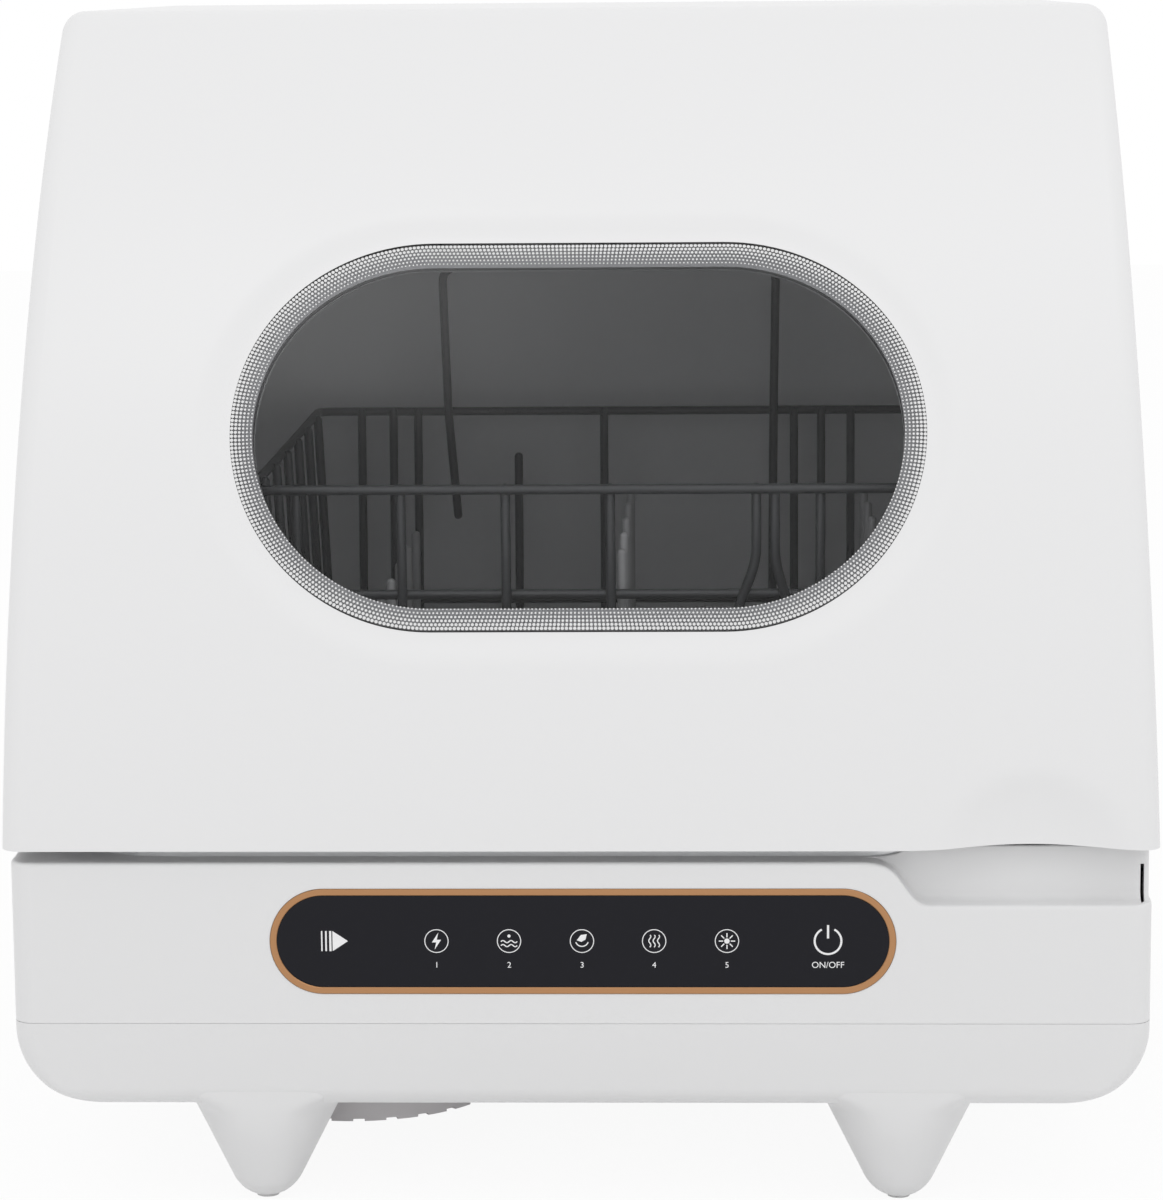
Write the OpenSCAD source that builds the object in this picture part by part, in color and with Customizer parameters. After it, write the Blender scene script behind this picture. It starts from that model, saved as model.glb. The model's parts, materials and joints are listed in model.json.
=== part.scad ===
// Countertop dishwasher: a lift-up hood with an oval window, hinged on a base that holds the tub,
// pumps, dryer fan and controls. It stands on four cone legs.
// X runs to the right, Y to the back, Z up. The origin is on the counter under the middle.

/* [Overall] */
// Width of the hood at its lower edge
body_w = 425; // [410:1:450]
// Depth from the hood's lower lip to the back of the base
body_d = 410; // [400:1:430]
// Height of the legs below the tray
foot_h = 39; // [36:1:46]
// Height of the bottom tray
tray_h = 32; // [30:1:38]
// Height of the base housing
housing_h = 60.5; // [60:0.5:68]
// Open joint between the base and the hood
hood_gap = 5; // [4.5:0.5:7]
// Height of the hood
hood_h = 303.5; // [280:0.5:330]

/* [Hood] */
// Wall of the hood's moulding
hood_wall = 2.6; // [2:0.1:3.2]
// Radius of the front's long curve
front_r = 440; // [420:5:520]
// Lean of the front at its lower edge, in degrees
front_lean = 1; // [0:0.5:4]
// Rounding between the front and the top
front_top_r = 14; // [10:1:20]
// Width lost by the hood from its lower edge to its top, on each side
side_draft = 11.3; // [8:0.1:14]
// Rounding of the side edges
edge_r = 8; // [6:0.5:10]
// How far the back of the hood stays in front of the back of the base
hood_setback = 6; // [4:0.5:10]
// Lip by which the hood's lower edge stands in front of the base
hood_lip = 3; // [2:0.5:5]
// Half the width of the finger scoop over the notch
scoop_r = 33; // [28:1:38]
// Depth of the finger scoop
scoop_depth = 5; // [3:0.5:6]

/* [Window] */
// Width of the pane
pane_w = 256; // [220:1:280]
// Height of the pane
pane_h = 148; // [120:1:160]
// Thickness of the pane
pane_t = 3; // [2.5:0.1:4]
// Height of the window's middle above the hood's lower edge
window_rise = 151.5; // [140:0.5:165]
// Width of the ledge that carries the pane
pane_ledge = 8; // [6:0.5:10]
// Depth of the smooth dish around the pane
dish_depth = 2.4; // [1.5:0.1:3]
// Width of the smooth dish around the pane
dish_w = 14; // [10:1:18]

/* [Base] */
// How far the hood stands out past the base at each side
side_lip = 2.5; // [1.5:0.5:4]
// Wall of the housing and the tray
base_wall = 2.6; // [2:0.1:3.2]
// Rounding of the tray's lower corners, seen from the front
tray_r = 29; // [20:1:30]
// Depth of the finger notch in the front
notch_depth = 12; // [10:1:18]
// Height of the finger notch
notch_h = 16; // [12:0.5:17]
// Where the finger notch's slope starts, from the middle
notch_x = 106; // [95:1:120]
// Run of the notch's slope
notch_run = 24; // [16:1:30]

/* [Controls] */
// Width of the control panel over its trim
panel_w = 230; // [200:1:240]
// Height of the control panel over its trim
panel_h = 39.5; // [34:0.5:42]
// Height of the panel's middle above the split line of the base
panel_rise = 31; // [29:0.5:33]
// Width of the panel's metal trim
trim_w = 2.5; // [2:0.1:4]

/* [Legs] */
// Distance of the legs from the middle
leg_x = 118.5; // [105:0.5:130]
// Distance of the leg tips from the front and the back
leg_inset = 18; // [16:1:24]
// Radius of a leg's rounded tip
leg_tip_r = 14.7; // [12:0.1:16]
// Taper of a leg from its axis, in degrees
leg_taper = 26; // [22:1:28]
// Tilt of a leg's axis, in degrees
leg_tilt = 12; // [6:1:16]
// Radius of the rubber pad in the tip
pad_r = 4.2; // [3.5:0.1:4.6]

/* [Tub] */
// Room between the tub and the base's face at each side
tub_side = 26; // [24:1:34]
// Room behind the tub for the hose ports and the hinges
rear_bay = 45; // [43:1:56]
// Depth of the tub below its rim
tub_depth = 32.7; // [31:0.1:36]
// Wall of the tub
tub_wall = 1.6; // [1.2:0.1:2]
// Rounding of the tub's corners
tub_r = 30; // [20:1:40]
// Sweep radius of the spray arm
arm_r = 148; // [120:1:155]
// Width of a spray arm blade
arm_w = 30; // [24:1:36]
// Height of the spray arm
arm_h = 8.5; // [7:0.5:9]
// Radius of the heater loop
heater_loop_r = 60; // [50:1:62]
// Radius of the heater tube
heater_r = 4; // [3:0.5:4]
// Radius of the filter well
well_r = 34; // [30:1:36]

/* [Pumps] */
// Radius of the round cover over the pump motor
cover_r = 55; // [52:1:56]
// Height of the motor cover below the tray
cover_h = 20.5; // [18:0.5:26]
// Grip notches round the motor cover
cover_notches = 27; // [16:1:32]
// Radius of the wash pump's housing
pump_r = 38; // [34:1:40]
// Radius of the wash pump's motor
motor_r = 40; // [34:1:44]
// Radius of the wash pump's shaft
shaft_r = 4; // [3:0.5:5]
// Outside radius of the water tubes
tube_r = 8; // [6:0.5:9]
// Wall of the water tubes
tube_wall = 1.6; // [1.2:0.1:2]
// Radius of the drain spigot
drain_r = 8; // [7:0.5:9]
// Radius of the inlet thread
inlet_r = 13.2; // [12:0.1:14]
// Radius of the dryer fan's housing
fan_r = 31; // [28:1:32]

/* [Hinge] */
// Distance of each hinge from the middle
hinge_x = 140; // [120:1:150]
// Radius of the hinge pins
pin_r = 3; // [2.5:0.1:3.5]
// Distance of the hinge axis in front of the back of the hood
hinge_inset = 12; // [11.6:0.1:13]
// Height of the hinge axis above the hood's lower edge
hinge_rise = 15; // [14.5:0.1:17]

/* [Rack] */
// Left side of the rack
rack_left = -125; // [-140:1:-115]
// Right side of the rack
rack_right = 147; // [130:1:160]
// Front of the rack
rack_front = -142; // [-150:1:-130]
// Back of the rack
rack_back = 125; // [110:1:135]
// Height of the rack's top rim above the tub's floor
rack_h = 160.5; // [140:0.5:175]
// Radius of the rack's wire
wire_r = 1.9; // [1.5:0.1:2.2]
// Distance between the tines of a row
tine_pitch = 44; // [36:1:50]
// Height of the tines
tine_h = 104; // [80:1:112]

/* [Hidden] */
$fn = 48;
tiny = 0.01;            // overlap that joins pieces of one solid
over = 1;               // how far a cutter runs past a face
seat = 0.3;             // gap between neighbouring parts
run = 0.05;             // radial clearance of a shaft in its bore

// Levels
tray_z = foot_h;
split_z = tray_z + tray_h;
deck_z = split_z + housing_h;
hood_z = deck_z + hood_gap;
top_z = hood_z + hood_h;
// Plan of the base and the hood
front_y = -body_d / 2;
back_y = body_d / 2;
base_front = front_y + hood_lip;
hood_back = back_y - hood_setback;
hood_hw = body_w / 2;
base_w = body_w - 2 * side_lip;
base_hw = base_w / 2;
// The front's long curve: a circle in side view
curve_y = front_y + front_r * cos(front_lean);
curve_z = hood_z - front_r * sin(front_lean);
fillet_z = top_z - front_top_r;
fillet_y = curve_y - sqrt(pow(front_r - front_top_r, 2) - pow(fillet_z - curve_z, 2));
blend_z = curve_z + (fillet_z - curve_z) * front_r / (front_r - front_top_r);
// Window
window_z = hood_z + window_rise;
window_a = asin((window_z - curve_z) / front_r);
hole_w = pane_w - 2 * pane_ledge;
hole_h = pane_h - 2 * pane_ledge;
ledge_t = 2.2;
pad_in = dish_depth + pane_t + ledge_t;
liner_in = 12;
liner_wall = 1.8;

// Tub and liner
flange_z = hood_z + 7;      // underside of the liner's flange
flange_t = 2.2;
rim_t = 2.2;                // the tub's rim, lying on the deck
tub_front = base_front + 19;
tub_back = back_y - rear_bay;
tub_l = tub_back - tub_front;
tub_w = base_w - 2 * tub_side;
tub_floor = deck_z + rim_t - tub_depth;
floor_t = 2.5;
under_floor = tub_floor - floor_t;
tub_rim = 7.4;
liner_back = tub_back + 5;
// Hinge axis
axis_y = hood_back - hinge_inset;
axis_z = hood_z + hinge_rise;
ear_t = 4;
knuckle_w = 17;
knuckle_r = 7.5;
ear_gap = 0.4;
damper_l = 22;
// Inside the base
arm_centre = [0, tub_front + tub_l / 2 - 0.5];
pump_at = [-90, base_front + 105];
well_at = [70, pump_at[1]];
arm_z = tub_floor + 11;
riser_r = 11;
spindle_r = 8;
chamber_h = 17;             // height of the pump's lower chamber
pump_z = tray_z + 24;
delivery_z = pump_z + chamber_h / 2;
suction_z = pump_z + chamber_h + tube_r + 0.3;
motor_z = tray_z - cover_h + 7;
well_bottom = under_floor - 34;
heater_open = asin(9 / heater_loop_r);
heater_end = [9, heater_loop_r * cos(heater_open)];
sleeve_r = heater_r + 0.8;
drain_x = 125;
drain_z = tray_z + 30;
drain_chamber_r = 21;
drain_rise = drain_chamber_r - 4;   // the outlet leaves the pump high, towards its port
shoulder = 1.5;             // step that seats a hose port against its pocket's wall
boss_r = 5;
port_depth = 22;            // depth of the pockets that hold the hose ports
port_w = 46;
port_h = 42;
port_z = split_z + 3;
inlet_x = -130;
inlet_z = split_z + 22;
feed_z = inlet_z - 8;        // the valve's outlet runs lower, under the tub
fan_at = [base_hw - 54, 66];
fan_z = tray_z + 7;
fan_h = 28;
vent_w = 84;
vent_h = 30;
vent_z = split_z + 14;
gland_x = -40;
gland_z = split_z + 20;
gland_w = 13.8;             // the gland slides up into a slot in the housing's edge, and the tray holds it

// ---------- outlines and shared forms ----------

// Rounded rectangle from (x0, y0) to (x1, y1), with n steps a corner
function rounded(x0, x1, y0, y1, r, n = 6) = [
    for (c = [[x1 - r, y0 + r, -90], [x1 - r, y1 - r, 0], [x0 + r, y1 - r, 90], [x0 + r, y0 + r, 180]])
        for (i = [0:n]) [c[0] + r * cos(c[2] + 90 * i / n), c[1] + r * sin(c[2] + 90 * i / n)]];

// Long oval, w wide and h high, centred
module oval(w, h) {
    square([w - h, h], center = true);
    for (s = [-1, 1]) translate([s * (w - h) / 2, 0]) circle(d = h);
}

// Plan of the base, drawn in by d
module base_plan(d) {
    polygon(rounded(-base_hw + d, base_hw - d, base_front + d, back_y - d, max(edge_r - d, 1)));
}

// A tube or rod from point a to point b
module rod(a, b, r, sides = $fn) {
    v = b - a;
    len = norm(v);
    translate(a) rotate([0, acos(v[2] / len), atan2(v[1], v[0])]) cylinder(r = r, h = len, $fn = sides);
}

// Along the window's inward normal: x across, y up the front, z out of the hood
module on_window() {
    translate([0, curve_y - front_r * cos(window_a), window_z]) rotate([90 - window_a, 0, 0]) children();
}

// Everything within the front's curve, drawn in by d
module inside_curve(d) {
    translate([-body_w, curve_y, curve_z]) rotate([0, 90, 0]) cylinder(r = front_r - d, h = 2 * body_w,
        $fn = 180);
}

// ---------- the hood's form ----------

// Front of the hood at height z, drawn in by d
function front_at(z, d) = z <= blend_z
    ? curve_y - sqrt(pow(front_r - d, 2) - pow(z - curve_z, 2))
    : fillet_y - sqrt(max(pow(max(front_top_r - d, 1), 2) - pow(z - fillet_z, 2), 0));
// How far a rounded top edge of radius r has turned in at height z, under a top at height t
function turned(z, r, t) = z <= t - r ? 0 : r - sqrt(max(r * r - pow(z - (t - r), 2), 0));
function half_width(z) = hood_hw - side_draft * (z - hood_z) / hood_h;
function smooth(t) = t * t * (3 - 2 * t);
// Depth of the dish at distance e outside the pane
function dish(e) = e >= dish_w ? 0 : e <= 0 ? dish_depth : dish_depth * smooth(1 - e / dish_w);

// One level of the hood. in = how far the front, sides, back and top are drawn in, then the
// radius of the upright edges
function level(z, in) =
    let (cut = turned(z, max(edge_r - in[3], 1), top_z - in[3]),
         hw = half_width(z) - in[1] - cut,
         yf = front_at(z, in[0]),
         yb = hood_back - in[2] - cut,
         r = max(in[4] - cut, 0.4))
    [for (p = rounded(-hw, hw, yf, yb, r, 3)) [p[0], p[1], z]];

// Closed solid through levels from height z0 to the top
module hood_form(z0, in, rows) {
    top = top_z - in[3];
    turn = max(front_top_r - in[3], 3);
    heights = concat([for (i = [0:rows]) z0 + (top - turn - z0) * i / rows],
        [for (i = [1:5]) top - turn * (1 - sin(18 * i))]);
    rings = [for (z = heights) level(min(z, top), in)];
    skin(rings, false);
}

// Joins rings of points into one closed solid; round = the last ring meets the first
module skin(rings, round) {
    n = len(rings[0]);
    m = len(rings);
    polyhedron(points = [for (ring = rings) each ring], convexity = 8, faces = concat(
        round ? [] : [[for (i = [0:n - 1]) i]],
        [for (j = [0:m - (round ? 1 : 2)]) for (i = [0:n - 1])
            let (k = (i + 1) % n, a = j * n + i, b = j * n + k, c = ((j + 1) % m) * n + i, d = ((j + 1)
                % m) * n + k)
            each (round ? [[a, c, b], [b, c, d]] : [[a, c, d, b]])],
        round ? [] : [[for (i = [n - 1:-1:0]) (m - 1) * n + i]]));
}

// Cutter for the smooth dish round the pane: a closed band that follows the front's curve
dish_steps = 9;
function on_front(x, s, depth) = let (a = window_a + s * 180 / (PI * front_r))
    [x, curve_y - (front_r - depth) * cos(a), curve_z + (front_r - depth) * sin(a)];
function around(e, depth) = let (r = pane_h / 2 + e, half = (pane_w - pane_h) / 2) [
    for (side = [1, -1]) for (i = [0:dish_steps]) let (t = -90 + 180 * i / dish_steps)
        on_front(side * (half + r * cos(t)), side * r * sin(t), depth)];
module dish_cut() {
    t = [0, 0.3, 0.7];
    skin(concat([around(-4, -3), around(-4, dish_depth)], [for (k = t) around(k * dish_w, dish(k *
        dish_w))],
        [around(dish_w, 0), around(dish_w + 3, -0.5), around(dish_w + 3, -3)]), true);
}

hood_out = [0, 0, 0, 0, edge_r];
hood_in = [hood_wall, hood_wall, hood_wall, hood_wall, edge_r - hood_wall];
liner_back_in = hood_back - liner_back - liner_wall;
liner_out = [liner_in, liner_in, liner_back_in, liner_in, edge_r];
liner_hollow = [liner_in + liner_wall, liner_in + liner_wall, liner_back_in + liner_wall,
    liner_in + liner_wall, edge_r];
// Screw posts that hold the liner: along the sides and the front
post_r = 4;
post_h = 22;
screw_r = 1.5;
posts = [for (s = [-1, 1]) for (p = [[s * (hood_hw - 6.3), -110], [s * (hood_hw - 6.3), 60],
    [s * 90, front_y + 7.6]]) p];
arm_screws = [for (s = [-1, 1]) for (h = [36, 50]) [s * hinge_x, hood_back - hood_wall, axis_z + h]];
scoop_at = [166, front_y, hood_z];
scoop_ball = (scoop_r * scoop_r + scoop_depth * scoop_depth) / (2 * scoop_depth);

module scoop(d) {
    translate(scoop_at + [0, -scoop_ball + scoop_depth, 0]) sphere(r = scoop_ball + d, $fn = 96);
}

module hood_shell() color("whitesmoke") difference() {
    hood_form(hood_z, hood_out, 14);
    difference() {
        hood_form(hood_z - over, hood_in, 10);
        // thicker wall behind the dish, cut to the curve
        difference() {
            on_window() translate([0, 0, -60]) linear_extrude(80) oval(pane_w + 2 * dish_w, pane_h + 2 *
                dish_w);
            inside_curve(pad_in);
        }
        scoop(hood_wall);
        // screw posts with their webs to the wall
        for (p = posts) translate([p[0], p[1], flange_z + flange_t]) cylinder(r = post_r, h = post_h);
    }
    dish_cut();
    // pocket for the pane, and the opening inside its ledge
    difference() {
        on_window() translate([0, 0, -40]) linear_extrude(60) oval(pane_w + 2 * seat, pane_h + 2 * seat);
        inside_curve(dish_depth + pane_t);
    }
    on_window() translate([0, 0, -60]) linear_extrude(80) oval(hole_w, hole_h);
    scoop(0);
    for (p = posts) translate([p[0], p[1], hood_z]) cylinder(r = screw_r, h = flange_z - hood_z +
        post_h - 2);
    for (p = arm_screws) translate(p + [0, -over, 0]) rotate([-90, 0, 0]) cylinder(r = screw_r, h = over +
        1.8);
    // the lower back edge turns about the hinge axis
    difference() {
        translate([-body_w, axis_y, hood_z - over]) cube([2 * body_w, hood_back, axis_z - hood_z + over]);
        rod([-body_w - over, axis_y, axis_z], [body_w + over, axis_y, axis_z], hinge_rise);
    }
    for (s = [-1, 1]) hinge_cut(s);
}

// Room for a hinge in the hood's back wall
module hinge_cut(s) {
    x0 = s > 0 ? hinge_x - knuckle_w / 2 - ear_t - 3 : -hinge_x - knuckle_w / 2 - ear_t - damper_l - 4;
    w = knuckle_w + 2 * ear_t + damper_l + 7;
    translate([x0, axis_y - 6, hood_z - over]) cube([w, hinge_inset + 6 + over, hinge_rise + 9 + over]);
}

module hood_liner() color("lightgray") difference() {
    union() {
        hood_form(flange_z, liner_out, 10);
        translate([0, 0, flange_z]) linear_extrude(flange_t) polygon(rounded(-hood_hw + hood_wall + 1.2,
            hood_hw - hood_wall - 1.2, front_y + hood_wall + 1, axis_y - knuckle_r - 3, edge_r));
    }
    hood_form(flange_z + flange_t, liner_hollow, 10);
    translate([0, 0, flange_z - over]) linear_extrude(flange_t + 2 * over) tub_outline(0);
    on_window() translate([0, 0, -60]) linear_extrude(80) oval(hole_w, hole_h);
    for (p = posts) translate([p[0], p[1], flange_z - over]) cylinder(r = screw_r + 0.3, h = flange_t +
        2 * over);
    // the flange steps round the scoop
    scoop(hood_wall + 1);
}

module window_pane() color("dimgray") intersection() {
    on_window() translate([0, 0, -60]) linear_extrude(80) oval(pane_w, pane_h);
    difference() {
        inside_curve(dish_depth + run);
        inside_curve(dish_depth + pane_t);
    }
}

// Foam seal between the ledge and the liner
module window_seal() color("dimgray") intersection() {
    on_window() translate([0, 0, -60]) linear_extrude(80) difference() {
        oval(pane_w - 1, pane_h - 1);
        oval(hole_w, hole_h);
    }
    difference() {
        inside_curve(pad_in + run);
        inside_curve(liner_in - seat);
    }
}

module hood_screws() color("silver") {
    for (p = posts) translate([p[0], p[1], flange_z]) {
        translate([0, 0, -1.8]) cylinder(r = 3, h = 1.8);
        translate([0, 0, -tiny]) cylinder(r = screw_r - run, h = flange_t + 14);
    }
    // four short ones hold the hinge arms to the back wall
    for (p = arm_screws) translate(p) rotate([90, 0, 0]) {
        translate([0, 0, 4]) cylinder(r = 3, h = 1.6);
        translate([0, 0, -1.6]) cylinder(r = screw_r - run, h = 6);
    }
}

module hood_magnet() color("gray") translate([-60, front_y + hood_wall + 1 + 4.4, flange_z + flange_t])
    cylinder(r = 3.6, h = 4);

// ---------- hinge ----------

// Leaf and knuckle that turn with the hood
module hinge_arms() color("silver") for (s = [-1, 1]) translate([s * hinge_x - knuckle_w / 2, axis_y,
    axis_z])
    difference() {
        rotate([90, 0, 90]) union() {
            cylinder(r = knuckle_r, h = knuckle_w);
            linear_extrude(knuckle_w) polygon([[0, knuckle_r - 0.2], [-knuckle_r + 0.3, 1.5],
                [hinge_inset - hood_wall - 4, 28], [hinge_inset - hood_wall - 4, 58],
                [hinge_inset - hood_wall, 58], [hinge_inset - hood_wall, 9], [knuckle_r - 0.3, 1.5]]);
        }
        translate([-over, 0, 0]) rotate([0, 90, 0]) cylinder(r = pin_r + run / 2, h = knuckle_w + 2 * over);
        for (h = [36, 50]) translate([knuckle_w / 2, 0, h]) rotate([-90, 0, 0])
            cylinder(r = screw_r + 0.3, h = hinge_inset);
    }

// The pin's long end drives the damper
module hinge_pins() color("gray") for (s = [-1, 1]) {
    out = ear_t + ear_gap + damper_l - 3;
    translate([s * (hinge_x - knuckle_w / 2 - ear_t - ear_gap - 0.5), axis_y, axis_z]) rotate([0, s * 90,
        0]) {
        cylinder(r = pin_r, h = knuckle_w + ear_t + ear_gap + 0.5 + out);
        translate([0, 0, -2]) cylinder(r = pin_r + 2, h = 2);
    }
}

module hinge_brackets() color("silver") for (s = [-1, 1]) difference() {
    union() {
        translate([s * hinge_x - knuckle_w / 2 - ear_t - ear_gap, axis_y - 9, deck_z])
            cube([knuckle_w + 2 * (ear_t + ear_gap), 16, 2.5]);
        for (e = [-1, 1]) translate([s * hinge_x + e * (knuckle_w / 2 + ear_gap + ear_t / 2) - ear_t / 2,
            axis_y, axis_z])
            rotate([90, 0, 90]) linear_extrude(ear_t) {
                circle(r = knuckle_r);
                polygon([[-knuckle_r, 0], [knuckle_r, 0], [7, deck_z - axis_z], [-9, deck_z - axis_z]]);
            }
    }
    rod([s * hinge_x - 40, axis_y, axis_z], [s * hinge_x + 40, axis_y, axis_z], pin_r + run);
    translate([s * hinge_x, axis_y - 1, deck_z - over]) cylinder(r = screw_r + 0.3, h = 5);
}

module hinge_screws() color("silver") for (s = [-1, 1]) translate([s * hinge_x, axis_y - 1, deck_z]) {
    translate([0, 0, 2.5]) cylinder(r = 3, h = 1.6);
    translate([0, 0, -7]) cylinder(r = screw_r, h = 10);
}

module hinge_dampers() color("dimgray") for (s = [-1, 1])
    translate([s * (hinge_x + knuckle_w / 2 + ear_gap + ear_t), axis_y, axis_z]) rotate([0, s * 90, 0])
        difference() {
            cylinder(r = knuckle_r, h = damper_l);
            translate([0, 0, -over]) cylinder(r = pin_r + run, h = damper_l - 2 + over);
        }

// ---------- base ----------

// Solid of the base between two heights, drawn in by d, with the front view's outline as a child
module base_block(d) intersection() {
    translate([0, 0, tray_z]) linear_extrude(deck_z - tray_z) base_plan(d);
    translate([0, back_y + over, 0]) rotate([90, 0, 0]) linear_extrude(body_d + 2 * over) children();
}

// Front view of the tray, drawn in by d, with its large lower corners
module tray_front(d) {
    polygon(concat(
        [for (i = [0:8]) [base_hw - tray_r + (tray_r - d) * sin(11.25 * i), tray_z + tray_r - (tray_r - d)
            * cos(11.25 * i)]],
        [[base_hw - d, split_z], [-base_hw + d, split_z]],
        [for (i = [8:-1:0]) [-base_hw + tray_r - (tray_r - d) * sin(11.25 * i), tray_z +
            tray_r - (tray_r - d) * cos(11.25 * i)]]));
}

// Side view of the tray with rounded lower edges
module tray_side(d) {
    r = 7 - d;
    polygon(concat(
        [for (i = [0:5]) [back_y - 7 + r * sin(18 * i), tray_z + 7 - r * cos(18 * i)]],
        [[back_y - d, split_z + over], [base_front + d, split_z + over]],
        [for (i = [5:-1:0]) [base_front + 7 - r * sin(18 * i), tray_z + 7 - r * cos(18 * i)]]));
}

module leg(d) {
    low = leg_tip_r * (1 - sin(leg_taper));
    rise = foot_h - low + 14;
    translate([0, 0, leg_tip_r]) rotate([leg_tilt, 0, 0]) {
        sphere(r = leg_tip_r - d, $fn = 64);
        translate([0, 0, low - leg_tip_r]) cylinder(r1 = leg_tip_r * cos(leg_taper) - d,
            r2 = leg_tip_r * cos(leg_taper) + rise * tan(leg_taper) - d, h = rise, $fn = 64);
    }
}

leg_blend = 8;
module legs(d) for (sx = [-1, 1]) for (m = [0, 1])
    translate([sx * leg_x, m == 0 ? base_front + leg_inset : back_y - leg_inset, 0]) mirror([0, m, 0])
        leg(d);

tray_screw_at = [for (sx = [-1, 1]) for (y = [base_front + 62, 0, back_y - 62]) [sx * (base_hw - 24), y]];

module bottom_tray() color("whitesmoke") difference() {
    union() {
        difference() {
            union() {
                intersection() {
                    base_block(0) tray_front(0);
                    translate([-body_w, 0, 0]) rotate([90, 0, 90]) linear_extrude(2 * body_w) tray_side(0);
                }
                // the legs grow out of the tray's rounded edge
                intersection() {
                    legs(0);
                    linear_extrude(tray_z + leg_blend) base_plan(0);
                }
            }
            intersection() {
                base_block(base_wall) tray_front(base_wall);
                translate([-body_w, 0, 0]) rotate([90, 0, 90]) linear_extrude(2 * body_w)
                    tray_side(base_wall);
            }
            translate([-body_w, -body_d, split_z]) cube([2 * body_w, 2 * body_d, housing_h]);
        }
        for (p = tray_screw_at) translate([p[0], p[1], tray_z + 0.5]) cylinder(r = boss_r,
            h = tray_h - 0.5);
    }
    intersection() {
        legs(base_wall);
        translate([-body_w, -body_d, 8]) cube([2 * body_w, 2 * body_d, tray_z - 8 + base_wall + tiny]);
        linear_extrude(split_z) base_plan(base_wall);
    }
    // flat tips with a socket for the pads
    translate([-body_w, -body_d, -over]) cube([2 * body_w, 2 * body_d, over + 0.8]);
    for (sx = [-1, 1]) for (y = [base_front + leg_inset, back_y - leg_inset])
        translate([sx * leg_x, y, 0]) cylinder(r = pad_r, h = 2.6);
    // opening for the pump motor, and the dryer's air inlet slots
    translate([pump_at[0], pump_at[1], tray_z - over]) cylinder(r = cover_r - 5, h = base_wall + 2 * over);
    for (i = [-4:4]) translate([fan_at[0] + i * 5 - 1.25, fan_at[1] - 16, tray_z - over])
        cube([2.5, 32, base_wall + 2 * over]);
    for (p = tray_screw_at) translate([p[0], p[1], tray_z - over]) cylinder(r = screw_r + 0.4,
        h = tray_h + 2 * over);
}

module foot_pads() color("gray") for (sx = [-1, 1]) for (y = [base_front + leg_inset, back_y - leg_inset])
    translate([sx * leg_x, y, 0]) cylinder(r = pad_r - run, h = 2.6);

module tray_screws() color("silver") for (p = tray_screw_at) translate([p[0], p[1], tray_z]) {
    translate([0, 0, -1.8]) cylinder(r = 3.4, h = 1.8);
    translate([0, 0, -tiny]) cylinder(r = screw_r, h = tray_h + 8);
}

// Front view of the notch for the fingers, over the right end of the base
module notch_front() {
    polygon([[notch_x, deck_z + over], [notch_x, deck_z], [notch_x + notch_run, deck_z - notch_h],
        [body_w, deck_z - notch_h], [body_w, deck_z + over]]);
}

// The notch goes in at the front, turns the corner and runs out along the side
module notch(d) intersection() {
    translate([0, body_d, 0]) rotate([90, 0, 0]) linear_extrude(2 * body_d) offset_front(d);
    translate([0, 0, split_z]) linear_extrude(housing_h + over) difference() {
        translate([notch_x - 6, base_front - over]) square([body_w, 84]);
        polygon(rounded(-base_hw, base_hw - 2.4 - d, base_front + notch_depth + d, back_y, edge_r + 6));
    }
}
module offset_front(d) translate([0, -d]) notch_front();

module port_pocket(x, d) translate([x - port_w / 2 - d, back_y - port_depth - d, port_z - d])
    cube([port_w + 2 * d, port_depth + d + over, port_h + 2 * d]);

boss_h = under_floor - split_z - 2;
rib_t = 3;
module base_housing() color("whitesmoke") difference() {
    translate([0, 0, split_z]) linear_extrude(housing_h) base_plan(0);
    // inside: everything but the walls, the deck, the notch's wall and the pockets' walls
    difference() {
        translate([0, 0, split_z - over]) linear_extrude(housing_h - base_wall + over) base_plan(base_wall);
        notch(base_wall);
        for (x = [inlet_x, drain_x]) port_pocket(x, base_wall);
        for (p = tray_screw_at) {
            translate([p[0], p[1], split_z]) cylinder(r = boss_r, h = boss_h);
            translate([p[0] > 0 ? p[0] : -base_hw, p[1] - rib_t / 2, split_z]) cube([base_hw - abs(p[0]),
                rib_t, boss_h]);
        }
    }
    translate([0, 0, deck_z - base_wall - over]) linear_extrude(base_wall + 2 * over)
        tub_outline(tub_wall + 1);
    notch(0);
    for (x = [inlet_x, drain_x]) port_pocket(x, 0);
    panel_cut(panel_w + 0.2, panel_h + 0.2, 1.9);
    panel_cut(panel_w - 14, panel_h - 14, base_wall + over);
    for (p = tray_screw_at) translate([p[0], p[1], split_z - over]) cylinder(r = screw_r, h = 12 + over);
    // rear openings: inlet, drain, vent and cord gland
    translate([inlet_x, back_y, inlet_z]) rotate([90, 0, 0]) cylinder(r = inlet_r + shoulder + seat,
        h = port_depth + 2 * base_wall);
    translate([drain_x, back_y, drain_z + drain_rise]) rotate([90, 0, 0])
        cylinder(r = drain_r + shoulder + seat, h = port_depth + 2 * base_wall);
    translate([-vent_w / 2 + 20, back_y - 8, vent_z]) cube([vent_w, 8 + over, vent_h]);
    translate([gland_x - 20 - gland_w / 2 - 0.1, back_y - 8, split_z - over]) cube([gland_w + 0.2, 8 + over,
        gland_z + 7.1 - split_z + over]);
    for (s = [-1, 1]) translate([s * hinge_x, axis_y - 1, deck_z - base_wall - over])
        cylinder(r = screw_r, h = base_wall + 2 * over);
}

module panel_cut(w, h, depth) translate([0, base_front + depth, split_z + panel_rise]) rotate([90, 0, 0])
    linear_extrude(depth + over) oval(w, h);

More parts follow.
